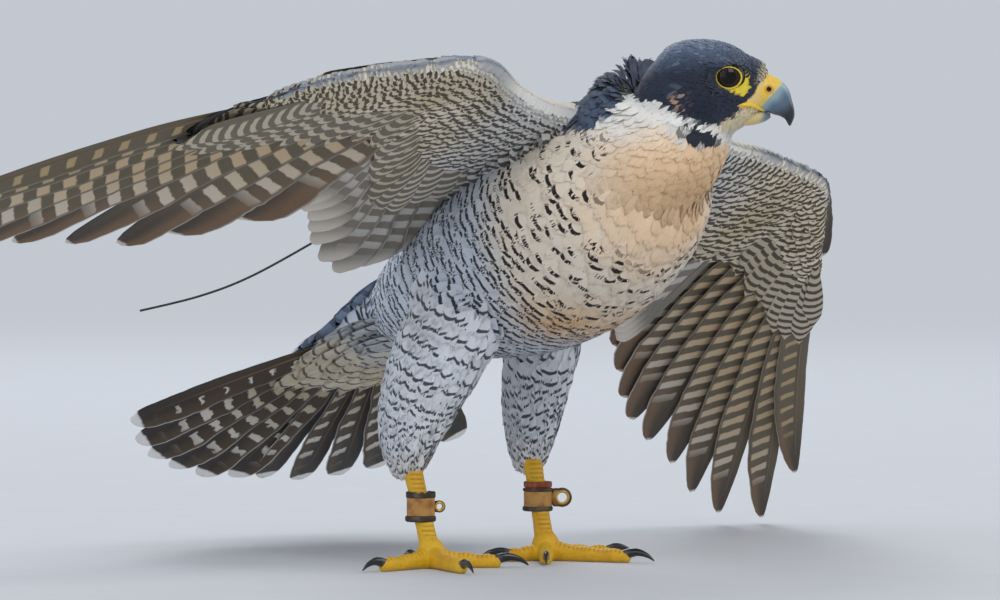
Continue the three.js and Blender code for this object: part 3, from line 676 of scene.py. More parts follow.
def head_look(points, rng=None):
    """Colour of the head: dark cap and moustache, with a painted sheen that lightens the cap towards its top,
    pale cheek and throat, buff streaks at the ear.
    """
    forward, left, up = head_local(points)
    side = np.abs(left)
    count = len(points)
    chance = rng.uniform(0, 1, count) if rng is not None else np.full(count, 0.5)
    rim = np.interp(forward, *CAP_RIM)
    waves = ripple(points, 4.2)
    pale = 1 - ramp(up - rim + 0.9 * waves + 2.2 * (chance - 0.5), -1.2, 1.2)
    chin = blend(WHITE, tint(232, 208, 150), 0.75 * ramp(forward, 9, 16) * ramp(up, -24, -17))
    # Painted sheen: the cap is painted lighter and bluer towards its top
    crown = ramp(up, 3, 22)
    dark = blend(CROWN, CROWN_PAINTED_SHEEN, 0.85 * crown + 0.1 * waves)
    streak = (chance > 0.8) * 0.4 * crown * ramp(forward, -32, 0)
    dark = blend(dark, tint(150, 165, 190), streak)
    front = ramp(forward - 0.25 * up, 28.5, 33) * ramp(up, -2, 3)
    dark = blend(dark, tint(204, 190, 156), 0.85 * front * (chance > 0.25))
    ear = np.exp(-(((forward + 3.6) / 5) ** 2) - (((up + 7.5 + 0.4 * forward) / 6.8) ** 2))
    ear *= ramp(side, 8, 14)
    warm = blend(EAR, tint(112, 120, 140), ramp(np.abs(up + 8), 3.5, 6.5))
    dark = blend(dark, warm, ramp(ear, 0.2, 0.7) * ramp(chance, 0.3, 0.85) * (0.7 + 0.3 * waves))
    tone = blend(dark, chin, pale)
    return tone, blank_marks(count)


def thigh_look(points, rng=None):
    """Trousers: bluish white with rows of short dark chevrons, creamier below."""
    count = len(points)
    chance = rng.uniform(0, 1, (3, count)) if rng is not None else np.full((3, count), 0.5)
    waves = ripple(points, 12, 2.0)
    tone = blend(np.tile(TROUSERS, (count, 1)), CREAM, 0.5 * ramp(-points[:, 2], -78, -52) + 0.15 * waves)
    marks = blank_marks(count)
    marks["form"][:, 0] = 9
    marks["form"][:, 1] = 1.5 + 0.5 * chance[0]
    marks["form"][:, 2] = 1.2 + 1.2 * chance[1]
    marks["place"][:, 0] = 2.8
    marks["place"][:, 1] = 4.1 + 1.6 * chance[2]
    marks["place"][:, 2] = 0.95 * (chance[0] < 0.93)
    marks["mark_tone"] = np.tile(MARK_SLATE, (count, 1))
    return tone, marks


def underwing_look(points, chord, rng):
    """Lining of the wing: pale khaki, closely barred, finer and darker towards the leading edge, and whitened
    along that edge as painted rim light.
    """
    count = len(points)
    chance = rng.uniform(0, 1, (3, count))
    waves = ripple(points, 14, 4.0)
    tone = blend(np.tile(UNDERWING, (count, 1)), CREAM, 0.35 + 0.45 * waves)
    inner = ramp(-np.abs(points[:, 0]), -120, -70)
    tone = blend(tone, FLANK, 0.55 * inner)
    # Painted rim light: the leading edge is whitened, and bluish grey on the outer arm
    tone = blend(tone, WHITE, 0.5 * (1 - ramp(chord, 0.03, 0.1)))
    outer_arm = ramp(np.abs(points[:, 0]), 84, 108)
    tone = blend(tone, tint(150, 156, 166), 0.7 * ramp(-chord, -0.03, 0.0) * outer_arm)
    marks = blank_marks(count)
    marks["form"][:, 0] = 3.6 + 2.6 * chord
    marks["form"][:, 1] = 1.7 + 1.0 * chord + 0.6 * (chance[0] - 0.5)
    marks["form"][:, 2] = 0.6 + 3.0 * (chance[1] - 0.35)
    marks["place"][:, 0] = 1.8 + 1.4 * chord
    marks["place"][:, 1] = 2.4 + 3.2 * chord + 1.5 * chance[2]
    marks["place"][:, 2] = 0.95 * ramp(chord, 0.02, 0.05)
    marks["mark_tone"] = blend(np.tile(UNDERWING_MARK, (count, 1)), MARK_SLATE, 0.5 * inner)
    return tone, marks


def upperwing_look(points, chord, rng):
    """Back of the wing: slate with darker bars, and a narrow pale band along the leading edge that is painted
    rim light.
    """
    count = len(points)
    waves = ripple(points, 15, 1.0)
    tone = blend(np.tile(SLATE, (count, 1)), SLATE_DARK, 0.3 + 0.3 * waves)
    # Painted rim light along the leading edge: cream near the body, bluish grey on the outer arm
    outer_arm = ramp(np.abs(points[:, 0]), 84, 108)
    rim = blend(CREAM, tint(142, 150, 164), outer_arm)
    tone = blend(tone, rim, 0.8 * ramp(-chord, -0.09, 0.0))
    marks = blank_marks(count)
    marks["form"][:] = (8, 3, 1.2)
    marks["place"][:] = (4.5, 9, 0.6)
    marks["place"][:, 2] *= ramp(chord, 0.03, 0.08)
    marks["mark_tone"] = np.tile(SLATE_DARK, (count, 1))
    return tone, marks


# Materials

class Wiring:
    """Short ways to add and join shader nodes."""

    def __init__(self, name):
        self.material = bpy.data.materials.new(name)
        self.material.use_nodes = True
        self.nodes = self.material.node_tree.nodes
        self.links = self.material.node_tree.links
        self.shader = self.nodes["Principled BSDF"]

    def put(self, socket, value):
        if isinstance(value, (int, float, tuple)):
            socket.default_value = value
        elif isinstance(value, np.ndarray):
            socket.default_value = (*value, 1.0)
        else:
            self.links.new(value, socket)

    def math(self, operation, a, b=0.0):
        node = self.nodes.new("ShaderNodeMath")
        node.operation = operation
        for socket, value in zip(node.inputs, (a, b)):
            self.put(socket, value)
        return node.outputs[0]

    def add(self, a, b):
        return self.math("ADD", a, b)

    def sub(self, a, b):
        return self.math("SUBTRACT", a, b)

    def rest(self, a):
        return self.math("SUBTRACT", 1.0, a)

    def size(self, a):
        return self.math("ABSOLUTE", a)

    def mul(self, first, *others):
        for other in others:
            first = self.math("MULTIPLY", first, other)
        return first

    def smooth_step(self, value, low, high):
        node = self.nodes.new("ShaderNodeMapRange")
        node.interpolation_type = "SMOOTHSTEP"
        for name, given in (("Value", value), ("From Min", low), ("From Max", high)):
            self.put(node.inputs[name], given)
        return node.outputs["Result"]

    def attribute(self, name):
        node = self.nodes.new("ShaderNodeAttribute")
        node.attribute_name = name
        return node.outputs["Vector"]

    def place(self):
        return self.nodes.new("ShaderNodeTexCoord").outputs["Object"]

    def split(self, vector):
        node = self.nodes.new("ShaderNodeSeparateXYZ")
        self.links.new(vector, node.inputs[0])
        return node.outputs

    def combine(self, x, y, z):
        node = self.nodes.new("ShaderNodeCombineXYZ")
        for socket, value in zip(node.inputs, (x, y, z)):
            self.put(socket, value)
        return node.outputs[0]

    def mix(self, share, a, b, kind="MIX"):
        node = self.nodes.new("ShaderNodeMix")
        node.data_type = "RGBA"
        node.blend_type = kind
        self.put(node.inputs["Factor"], share)
        for name, value in (("A", a), ("B", b)):
            self.put(next(s for s in node.inputs if s.name == name and s.type == "RGBA"), value)
        return next(s for s in node.outputs if s.type == "RGBA")

    def noise(self, scale, detail, vector=None):
        node = self.nodes.new("ShaderNodeTexNoise")
        node.inputs["Scale"].default_value = scale
        node.inputs["Detail"].default_value = detail
        self.links.new(vector or self.place(), node.inputs["Vector"])
        return node.outputs["Fac"]

    def shaded(self, tone, texture, depth, darkest):
        """A tone that a texture makes lighter and darker."""
        shade = self.add(self.mul(texture, depth), darkest)
        return self.mix(1.0, tone, self.combine(shade, shade, shade), "MULTIPLY")

    def colour(self, tone):
        self.links.new(tone, self.shader.inputs["Base Color"])

    def bump(self, height, strength, distance):
        node = self.nodes.new("ShaderNodeBump")
        node.inputs["Strength"].default_value = strength
        node.inputs["Distance"].default_value = distance * MM
        self.links.new(height, node.inputs["Height"])
        self.links.new(node.outputs["Normal"], self.shader.inputs["Normal"])

    def finish(self, roughness, specular=0.5, sheen=0.0, **others):
        """Constants of the shader, by the names of its sockets, and the finished material."""
        self.shader.inputs["Roughness"].default_value = roughness
        self.shader.inputs["Specular IOR Level"].default_value = specular
        self.shader.inputs["Sheen Weight"].default_value = sheen
        for name, value in others.items():
            self.shader.inputs[name.replace("_", " ")].default_value = value
        return self.material


def barb_pattern(w, across, down):
    """Fine slanting lines of the barbs of a web, from its millimetres across and down."""
    slanted = w.add(down, w.mul(w.size(across), 1.1))
    streaks = w.noise(1.0, 2.0, w.combine(w.mul(slanted, 2.6), across, 0.0))
    return streaks, w.math("SINE", w.mul(slanted, 9.0))


def feather_material(name, gloss, sheen):
    """Small feathers: a ground colour and bars counted from the tip, both read from the mesh."""
    w = Wiring(name)
    across, down, share = w.split(w.attribute("web"))
    period, thickness, bend = w.split(w.attribute("mark_form"))
    first, half, strength = w.split(w.attribute("mark_place"))
    uneven = w.sub(w.noise(420.0, 3.0), 0.5)
    run = w.sub(w.add(down, w.mul(uneven, 1.5)), w.mul(bend, w.mul(share, share)))
    cycle = w.math("DIVIDE", w.sub(run, first), w.math("MAXIMUM", period, 0.1))
    from_bar = w.size(w.sub(w.math("FRACT", w.add(cycle, 0.5)), 0.5))
    edge = w.mul(thickness, 0.5)
    inside = w.rest(w.smooth_step(w.mul(from_bar, period), w.sub(edge, 0.3), w.add(edge, 0.35)))
    lateral = w.rest(w.smooth_step(w.size(across), w.sub(half, 0.9), w.add(half, 0.9)))
    begun = w.smooth_step(cycle, -0.5, -0.42)
    mask = w.mul(inside, lateral, w.mul(begun, strength))
    colour = w.mix(mask, w.attribute("tone"), w.attribute("mark_tone"))
    streaks, lines = barb_pattern(w, across, down)
    w.colour(w.shaded(colour, streaks, 0.34, 0.83))
    w.bump(w.add(w.mul(lines, 0.25), streaks), 0.5, 0.25)
    return w.finish(gloss, 0.25, sheen)


def vane_material(name, look):
    """Flight feathers: pale bars on the inner web, a dark end and a narrow pale rim."""
    w = Wiring(name)
    across, down, share = w.split(w.attribute("web"))
    grade, upper, shaft = w.split(w.attribute("part"))
    inmost = w.rest(w.smooth_step(grade, -0.7, -0.3))
    inmost_share = w.mul(inmost, look["inner_share"])
    outmost = w.smooth_step(grade, 0.82, 1.0)
    uneven = w.sub(w.noise(230.0, 3.0), 0.5)
    # Where the pale bars are: along the feather, across its web, and clear of its tip
    run = w.math("DIVIDE", w.add(down, w.mul(uneven, look["uneven"])), look["period"])
    run = w.add(run, w.mul(share, look["slant"]))
    wave = w.size(w.sub(w.math("FRACT", run), 0.5))
    narrow = w.add(look["narrow"], w.mul(outmost, 0.08))
    bar = w.smooth_step(wave, narrow, w.add(narrow, 0.08))
    inner = w.smooth_step(share, look["from"], look["from"] + 0.1)
    limit = w.sub(look["to"], w.mul(outmost, 0.2))
    rim = w.rest(w.smooth_step(share, limit, w.add(limit, 0.12)))
    clear = w.mul(w.rest(w.mul(inmost, 0.75)), look["clear"])
    fade = w.smooth_step(down, clear, w.add(clear, 22.0))
    below = w.rest(w.mul(upper, 0.8))
    mask = w.mul(w.mul(bar, inner), w.mul(rim, fade, below), look["strength"])
    # Ground colour, darker at the end and warm in the web near it
    ground = w.mix(w.smooth_step(down, 4.0, 70.0), look["end"], look["ground"])
    warm = w.mul(w.smooth_step(share, 0.2, 0.8), w.rest(w.smooth_step(down, 25.0, 75.0)), look["warm_share"])
    ground = w.mix(warm, ground, look["warm"])
    ground = w.mix(inmost_share, ground, look["inner_ground"])
    ground = w.mix(w.mul(inmost_share, w.rest(w.smooth_step(down, 2.0, 17.0))), ground, look["rim"])
    ground = w.mix(w.mul(upper, 0.75), ground, look["upper"])
    far = w.smooth_step(down, look["white_from"], look["white_from"] + 70.0)
    pale = w.mix(far, look["spot_near_tip"], look["spot"])
    pale = w.mix(outmost, pale, look["spot_outmost"])
    pale = w.mix(inmost_share, pale, look["inner_spot"])
    colour = w.mix(mask, ground, pale)
    # Pale tip and rim, and the shaft
    tip = w.rest(w.smooth_step(w.add(down, w.mul(uneven, 2.0)), look["tip"] - 0.8, look["tip"] + 0.8))
    edge = w.mul(w.smooth_step(share, 0.93, 0.985), w.sub(0.75, w.mul(w.smooth_step(down, 20.0, 60.0), 0.5)))
    colour = w.mix(w.math("MAXIMUM", tip, edge), colour, look["rim"])
    colour = w.mix(w.mul(shaft, 0.8), colour, SHAFT)
    streaks, lines = barb_pattern(w, across, down)
    w.colour(w.shaded(colour, streaks, 0.36, 0.82))
    w.bump(w.add(w.mul(lines, 0.3), streaks), 0.55, 0.3)
    return w.finish(0.5, 0.3, 0.1)


# How far red, green and blue light spreads under bare skin
SKIN_SPREAD = (0.002, 0.001, 0.0004)


def skin_material():
    """Skin under the coat: the colours of the coat, read from the mesh, and bare skin at the face."""
    w = Wiring("skin")
    grain = w.noise(900.0, 4.0)
    w.colour(w.shaded(w.attribute("tone"), grain, 0.4, 0.8))
    w.bump(grain, 0.5, 0.4)
    return w.finish(0.7, 0.3, 0.2)


def scaled_skin_material():
    """Scaly yellow skin: small plates with darker seams between the larger ones of the mesh."""
    w = Wiring("scaled_skin")
    cells = w.nodes.new("ShaderNodeTexVoronoi")
    cells.feature = "DISTANCE_TO_EDGE"
    cells.inputs["Scale"].default_value = 900.0
    w.links.new(w.place(), cells.inputs["Vector"])
    seam = w.smooth_step(cells.outputs["Distance"], 0.0, 0.14)
    texture = w.add(w.mul(seam, 0.16), w.mul(w.noise(240.0, 3.0), 0.3))
    w.colour(w.shaded(w.attribute("tone"), texture, 1.0, 0.72))
    w.bump(w.add(seam, w.mul(w.noise(1500.0, 2.0), 0.3)), 0.45, 0.2)
    return w.finish(0.48, 0.45, Subsurface_Weight=0.08, Subsurface_Radius=SKIN_SPREAD)


def soft_skin_material():
    """Waxy bare skin of the face, painted on the mesh, with fine pores."""
    w = Wiring("bare_skin")
    pores, mottled = w.noise(1600.0, 3.0), w.noise(420.0, 3.0)
    w.colour(w.shaded(w.attribute("tone"), mottled, 0.3, 0.86))
    w.bump(w.add(pores, mottled), 0.4, 0.15)
    return w.finish(0.42, 0.5, Subsurface_Weight=0.1, Subsurface_Radius=SKIN_SPREAD)


def eye_material():
    """Wet dark eye: painted iris and pupil under a clear glossy coat."""
    w = Wiring("eye")
    w.colour(w.shaded(w.attribute("tone"), w.noise(1200.0, 4.0), 0.6, 0.7))
    w.bump(w.noise(300.0, 1.0), 0.03, 0.05)
    return w.finish(0.12, 0.12, Coat_Weight=0.2, Coat_Roughness=0.015)


def horn_material():
    """Smooth horn, painted on the mesh, with faint growth lines."""
    w = Wiring("horn")
    growth = w.noise(260.0, 4.0)
    w.colour(w.shaded(w.attribute("tone"), growth, 0.3, 0.85))
    w.bump(growth, 0.25, 0.2)
    return w.finish(0.22, 0.5, Coat_Weight=0.25)


def leather_material(name, colour, worn):
    """Leather with a fine grain, and worn blotches of another tone."""
    w = Wiring(name)
    grain, blotch = w.noise(1400.0, 5.0), w.noise(170.0, 3.0)
    w.colour(w.mix(w.smooth_step(blotch, 0.42, 0.7), colour, worn))
    w.bump(w.add(grain, w.mul(blotch, 0.5)), 0.6, 0.35)
    return w.finish(0.6, 0.4)


def plain_material(name, colour, roughness, metallic=0.0):
    """One colour with a faint grain."""
    w = Wiring(name)
    grain = w.noise(700.0, 4.0)
    w.colour(w.shaded(colour, grain, 0.24, 0.88))
    w.bump(grain, 0.2, 0.1)
    return w.finish(roughness, 0.5, Metallic=metallic)


# Feathers

# How the flight feathers are marked. Lengths are millimetres along the feather from its tip,
# and places on the web run from 0 at the shaft to 1 at the rim of the inner web.
FLIGHT_LOOK = {
    "ground": tint(104, 92, 70), "end": tint(66, 54, 42), "upper": SLATE_DARK,
    "warm": tint(156, 118, 84), "warm_share": 0.5,
    "inner_ground": tint(138, 131, 120), "inner_share": 0.85, "inner_spot": tint(206, 203, 196),
    "spot": tint(216, 188, 148), "spot_near_tip": tint(226, 216, 200), "spot_outmost": tint(192, 166, 120),
    "white_from": 30.0, "rim": tint(232, 222, 208), "tip": 1.6, "period": 13.0, "uneven": 2.6, "slant": 0.2,
    "narrow": 0.22, "from": 0.06, "to": 0.84, "clear": 28.0, "strength": 0.9,
}
# The tail's white tips and pale bars are its own marks; their near pure white is partly painted rim light
TAIL_LOOK = {
    "ground": tint(74, 60, 46), "end": tint(48, 38, 31), "upper": tint(92, 106, 130),
    "warm": tint(126, 102, 70), "warm_share": 0.3,
    "inner_ground": tint(74, 60, 46), "inner_share": 0.0, "inner_spot": tint(188, 170, 130),
    "spot": tint(206, 190, 154), "spot_near_tip": tint(246, 240, 228), "spot_outmost": tint(238, 230, 214),
    "white_from": 20.0, "rim": tint(252, 250, 246), "tip": 5.0, "period": 13.0, "uneven": 7.0, "slant": 0.12,
    "narrow": 0.3, "from": 0.16, "to": 0.78, "clear": 10.0, "strength": 0.9,
}

MATERIALS = {
    "coat": feather_material("coat", 0.75, 0.15),
    "crown": feather_material("crown", 0.6, 0.25),
    "flight": vane_material("flight", FLIGHT_LOOK),
    "tail": vane_material("tail", TAIL_LOOK),
    "skin": skin_material(),
}

# Small feathers as grids: share of the length and share of the width at each row, and the columns
BODY_BLADE = ([[0, 0.3], [0.35, 0.8], [0.66, 1.0], [0.85, 0.88], [0.95, 0.6], [1, 0.3]], 7)
COVERT_BLADE = ([[0, 0.3], [0.35, 0.8], [0.66, 1.0], [0.86, 0.92], [0.96, 0.64], [1, 0.28]], 5)
GREATER_BLADE = (
    [
        [0, 0.3], [0.12, 0.5], [0.28, 0.75], [0.46, 0.93], [0.64, 1.0],
        [0.8, 0.96], [0.9, 0.82], [0.96, 0.6], [1, 0.25],
    ], 9,
)
BARB_BLADE = ([[0, 0.6], [0.4, 1.0], [0.75, 0.75], [1, 0.1]], 3)


# How far the light on a coat and on its loose barbs follows the body, and not each feather
BODY_SHARE = 0.9
BARB_SHARE = 0.85
BARB_THICKNESS = 0.75


def blade_topology(shape):
    """Faces of one small feather: the curved upper side, and a flat underside that closes it."""
    rows, columns = len(shape[0]), shape[1]
    quads = [tuple(face[::-1]) for face in grid_faces(rows, columns, closed=False)]
    for row in range(rows - 1):
        left = row * columns
        right = left + columns - 1
        quads.append((left, right, right + columns, left + columns))
    root = tuple(range(columns))
    tip = tuple((rows - 1) * columns + column for column in range(columns))[::-1]
    return np.array(quads), np.array(root), np.array(tip)


def blades(rng, shape, roots, middles, tips, normals, widths, camber, ragged):
    """Points of many small feathers, each on a curve through its root, middle and tip."""
    v, share = np.array(shape[0]).T
    u = np.linspace(-1, 1, shape[1])
    control = 2 * middles - (roots + tips) / 2
    weights = ((1 - v) ** 2, 2 * v * (1 - v), v**2)
    shaft = sum(w[None, :, None] * end[:, None] for w, end in zip(weights, (roots, control, tips)))
    run = unit(tips - roots)
    side = unit(np.cross(normals, run))
    up = np.cross(run, side)
    slope = (1 - v)[None, :, None] * (control - roots)[:, None] + v[None, :, None] * (tips - control)[:, None]
    slope = unit(slope)
    length = np.linalg.norm(tips - roots, axis=1)[:, None, None]
    width = widths[:, None, None]
    across = width / 2 * share[None, :, None] * u
    end = np.clip((v - 0.6) / 0.4, 0, 1)[None, :, None]
    uneven = rng.uniform(-0.5, 0.5, (len(roots), len(v), len(u)))
    fringe = (0.5 * (-1.0) ** np.arange(len(u)) + uneven) * end
    slide = length * (ragged * fringe - 0.1 * u**2 * v[None, :, None] ** 3)
    sag = camber * width * u**2 * (0.4 + 0.6 * v)[None, :, None]
    points = (shaft[:, :, None] + across[..., None] * side[:, None, None]
              + slide[..., None] * slope[:, :, None] - sag[..., None] * up[:, None, None])
    down = length * (1 - v)[None, :, None] - slide
    web = np.stack([across, down, np.broadcast_to(u, across.shape)], axis=-1)
    return points.reshape(-1, 3), web.reshape(-1, 3)


def wisps(rng, shape, roots, middles, tips, normals, widths, camber, count, beyond):
    """Fine loose barbs along the end of each feather, which lie on it and reach past its rim."""
    rows, shares = np.array(shape[0]).T
    total = len(roots)
    start = rng.uniform(0.5, 0.8, (total, count))
    end = rng.uniform(0.98, 1.0 + beyond, (total, count))
    place = rng.uniform(-0.92, 0.92, (total, count))
    end -= 0.1 * np.abs(place) ** 3
    spread = place * rng.uniform(0.0, 0.35, (total, count))
    control = 2 * middles - (roots + tips) / 2
    run = unit(tips - roots)
    side = unit(np.cross(normals, run))
    up = np.cross(run, side)
    length = np.linalg.norm(tips - roots, axis=1)[:, None]
    points, web = [], []
    for step, breadth, lift in ((0, 0.6, 0.02), (0.55, 1, 0.16), (1, 0.12, 0.22)):
        v = start + (end - start) * step
        u = place + spread * step
        held = np.minimum(v, 1)
        curve = ((1 - held) ** 2)[..., None] * roots[:, None]
        curve = curve + (2 * held * (1 - held))[..., None] * control[:, None]
        curve = curve + (held**2)[..., None] * tips[:, None] + ((v - held) * length)[..., None] * run[:, None]
        across = widths[:, None] / 2 * np.interp(held, rows, shares) * u
        sag = camber * widths[:, None] * u**2 * (0.4 + 0.6 * v)
        middle = curve + across[..., None] * side[:, None] + (lift - sag)[..., None] * up[:, None]
        half = BARB_THICKNESS / 2 * breadth
        for offset, rise in ((-half, -0.06), (half, -0.06), (0, 0.1)):
            points.append(middle + offset * side[:, None] + rise * up[:, None])
            web.append(np.stack([across + offset, length * (1 - v), u], axis=-1))
    points = np.stack(points, axis=2).reshape(-1, 3)
    web = np.stack(web, axis=2).reshape(-1, 3)
    return points, web


# Faces of one barb: three rings of three points
WISP_QUADS = np.array([
    [ring * 3 + k, ring * 3 + (k + 1) % 3, ring * 3 + 3 + (k + 1) % 3, ring * 3 + 3 + k]
    for ring in (0, 1) for k in range(3)
])
WISP_POINTS = 9


def paint_coat(obj, web, roots, normals, look, per):
    """Web, colour, marks and map of many feathers. Gives their own normals and the body's."""
    tone, marks = look
    paint(obj, "web", web)
    named = {
        "tone": tone, "mark_tone": marks["mark_tone"],
        "mark_form": marks["form"], "mark_place": marks["place"],
    }
    for key, values in named.items():
        paint(obj, key, np.repeat(values, per, axis=0))
    bake_map(obj, unwrap.at(roots), web, per)
    own = mesh_normals(obj)
    body = np.repeat(normals, per, axis=0)
    own *= np.where(np.sum(own * body, axis=1, keepdims=True) < 0, -1, 1)
    return own, body


def wisp_piece(name, points, web, roots, normals, look, material, slot, count):
    """The barbs of many feathers as one piece, coloured and marked as the feathers they lie on."""
    per = WISP_POINTS * count
    first = (np.arange(len(roots) * count) * WISP_POINTS)[:, None]
    quads = (WISP_QUADS[None] + first[:, :, None]).reshape(-1, 4)
    obj = grid_mesh(name, points, quads, (np.array([[2, 1, 0]]) + first, np.array([[6, 7, 8]]) + first))
    own, body = paint_coat(obj, web, roots, normals, look, per)
    obj.data.normals_split_custom_set_from_vertices(unit(own * (1 - BARB_SHARE) + body * BARB_SHARE))
    return finished(obj, MATERIALS[material], slot)


def blade_piece(name, shape, points, web, roots, normals, look, material, slot):
    """Many small feathers as one piece, with the colour, marks and bake place of each."""
    per = len(shape[0]) * shape[1]
    quads, root, tip = blade_topology(shape)
    first = (np.arange(len(roots)) * per)[:, None]
    all_quads = (quads[None] + first[:, :, None]).reshape(-1, 4)
    obj = grid_mesh(name, points, all_quads, (root[None] + first, tip[None] + first))
    # Light falls on a coat as on the body under it, and less on the curve of each feather
    own, body = paint_coat(obj, web, roots, normals, look, per)
    lit = unit(own * (1 - BODY_SHARE) + body * BODY_SHARE)
    corners = np.empty(len(obj.data.loops), np.int32)
    obj.data.loops.foreach_get("vertex_index", corners)
    # The undersides face the other way
    below = np.zeros(len(corners), bool)
    upper_quads = (len(shape[0]) - 1) * (shape[1] - 1)
    below[:len(all_quads) * 4] = np.tile(np.arange(len(quads)) >= upper_quads, len(roots)).repeat(4)
    corner_normals = np.where(below[:, None], -body[corners], lit[corners])
    obj.data.normals_split_custom_set(corner_normals.tolist())
    return finished(obj, MATERIALS[material], slot)


def grid_mesh(name, points, quads, ends=()):
    """A mesh from many quads, made at once, and a few faces with more sides."""
    loops = [quads.ravel()]
    sizes = [np.full(len(quads), 4)]
    for faces in ends:
        loops.append(faces.ravel())
        sizes.append(np.full(len(faces), faces.shape[1]))
    loops = np.concatenate(loops).astype(np.int32)
    sizes = np.concatenate(sizes)
    mesh = bpy.data.meshes.new(name)
    mesh.vertices.add(len(points))
    mesh.vertices.foreach_set("co", to_row(points).ravel())
    mesh.loops.add(len(loops))
    mesh.loops.foreach_set("vertex_index", loops)
    mesh.polygons.add(len(sizes))
    mesh.polygons.foreach_set("loop_start", np.concatenate([[0], np.cumsum(sizes)[:-1]]).astype(np.int32))
    mesh.update(calc_edges=True)
    mesh.polygons.foreach_set("use_smooth", np.ones(len(sizes), bool))
    obj = bpy.data.objects.new(name, mesh)
    bpy.context.scene.collection.objects.link(obj)
    return obj


class Unwrap:
    """The skin's own unwrap, which gives each feather root its place on the texture."""

    def __init__(self, obj):
        bpy.context.view_layer.objects.active = obj
        obj.select_set(True)
        bpy.ops.object.mode_set(mode="EDIT")
        bpy.ops.mesh.select_all(action="SELECT")
        obj.data.uv_layers.new(name="OFBake")
        bpy.ops.uv.smart_project(angle_limit=math.radians(66), island_margin=0.001)
        bpy.ops.object.mode_set(mode="OBJECT")
        obj.select_set(False)
        mesh = obj.data
        points = mesh_points(obj)
        polygons = [tuple(p.vertices) for p in mesh.polygons]
        self.tree = BVHTree.FromPolygons(points.tolist(), polygons)
        coordinates = np.empty(len(mesh.loops) * 2)
        mesh.uv_layers["OFBake"].data.foreach_get("uv", coordinates)
        coordinates = coordinates.reshape(-1, 2)
        self.centres = np.array([coordinates[list(p.loop_indices)].mean(axis=0) for p in mesh.polygons])

    def at(self, points):
        found = [self.tree.find_nearest(Vector(p))[2] for p in points]
        return self.centres[found]


unwrap = Unwrap(skin)
PATCH = 0.003


def bake_map(obj, centres, web, per_feather):
    """Each feather is one small patch at its root's place on the skin's unwrap."""
    mesh = obj.data
    middle = np.repeat(centres, per_feather, axis=0)
    length = np.maximum(np.abs(web[:, 1]).reshape(-1, per_feather).max(axis=1), 1e-6)
    v = web[:, 1] / np.repeat(length, per_feather) - 0.5
    uv = middle + PATCH * np.stack([web[:, 2] / 2, v], axis=1)
    indices = np.empty(len(mesh.loops), np.int32)
    mesh.loops.foreach_get("vertex_index", indices)
    layer = mesh.uv_layers.new(name="OFBake")
    layer.data.foreach_set("uv", uv[indices].ravel())


def nearest(tree, points):
    """Nearest point on a tree of surfaces to each point."""
    result = np.array(points, float)
    for i, p in enumerate(points):
        hit = tree.find_nearest(Vector(p))
        if hit[0] is not None:
            result[i] = hit[0]
    return result


def lay_coat(name, tree, roots, normals, ways, lengths, widths, look, rng, shape=BODY_BLADE, material="coat",
             slot="body_feathers", height=1.5, sink=0.6, camber=0.1, ragged=0.07, spread=0.09,
             barbs=0, beyond=0.12):
    """Small feathers over a surface, from their roots, their lie and the look of their place."""
    count = len(roots)
    ways = ways - np.sum(ways * normals, axis=1, keepdims=True) * normals
    ways = unit(unit(ways) + rng.normal(0, spread, (count, 3)))
    ways = unit(ways - np.sum(ways * normals, axis=1, keepdims=True) * normals)
    lengths = lengths * rng.uniform(0.9, 1.1, count)
    widths = widths * rng.uniform(0.88, 1.12, count)
    lift = height * rng.uniform(0.75, 1.25, count)
    middles = nearest(tree, roots + ways * (lengths * 0.5)[:, None]) + normals * (0.72 * lift)[:, None]
    tips = nearest(tree, roots + ways * lengths[:, None]) + normals * lift[:, None]
    points, web = blades(rng, shape, roots - normals * sink, middles, tips, normals, widths, camber, ragged)
    tone, marks = look
    look = (tone * rng.uniform(0.965, 1.035, (count, 1)), marks)
    if barbs:
        loose, loose_web = wisps(
            rng, shape, roots - normals * sink, middles, tips, normals, widths, camber, barbs, beyond)
        wisp_piece(name + "_barbs", loose, loose_web, roots, normals, look, material, slot, barbs)
    return blade_piece(name, shape, points, web, roots, normals, look, material, slot)


# Flight feathers

LOWEST_LIFT = -3
PRIMARY_STEP = 0.8
LOUVRE_TILT = 7
VANE_THICKNESS = 0.5
VANE_ROWS = 46
OUTER_COLUMNS = np.array([1.0, 0.8, 0.5, 0.2])
INNER_COLUMNS = np.array([0.15, 0.35, 0.6, 0.82, 1.0])
VANE_ACROSS = np.concatenate([-OUTER_COLUMNS, [0], INNER_COLUMNS])


VANE_OUTLINES = {
    "primary": (
        [0, 0.06, 0.16, 0.34, 0.55, 0.72, 0.84, 0.92, 0.965, 0.99, 1],
        [0.12, 0.35, 0.62, 0.92, 1, 0.95, 0.84, 0.69, 0.5, 0.3, 0.1],
    ),
    "pointed": (
        [0, 0.06, 0.16, 0.34, 0.55, 0.68, 0.78, 0.86, 0.93, 0.975, 1],
        [0.12, 0.35, 0.62, 0.92, 1, 0.97, 0.87, 0.71, 0.5, 0.31, 0.12],
    ),
    "secondary": (
        [0, 0.06, 0.16, 0.34, 0.6, 0.82, 0.91, 0.96, 0.988, 1],
        [0.12, 0.4, 0.68, 0.95, 1, 1, 0.93, 0.76, 0.5, 0.15],
    ),
    "tail": (
        [0, 0.06, 0.16, 0.34, 0.6, 0.82, 0.91, 0.96, 0.988, 1],
        [0.12, 0.3, 0.48, 0.74, 0.94, 1, 0.92, 0.74, 0.48, 0.15],
    ),
    "covert": ([0, 0.2, 0.5, 0.8, 0.93, 0.98, 1], [0.3, 0.75, 1, 0.95, 0.7, 0.4, 0.15]),
}


def outline(kinds, t):
    """Share of the full width of a vane along its length: one kind, or two kinds and their blend."""
    first, second, share = kinds
    return np.interp(t, *VANE_OUTLINES[first]) * (1 - share) + np.interp(t, *VANE_OUTLINES[second]) * share


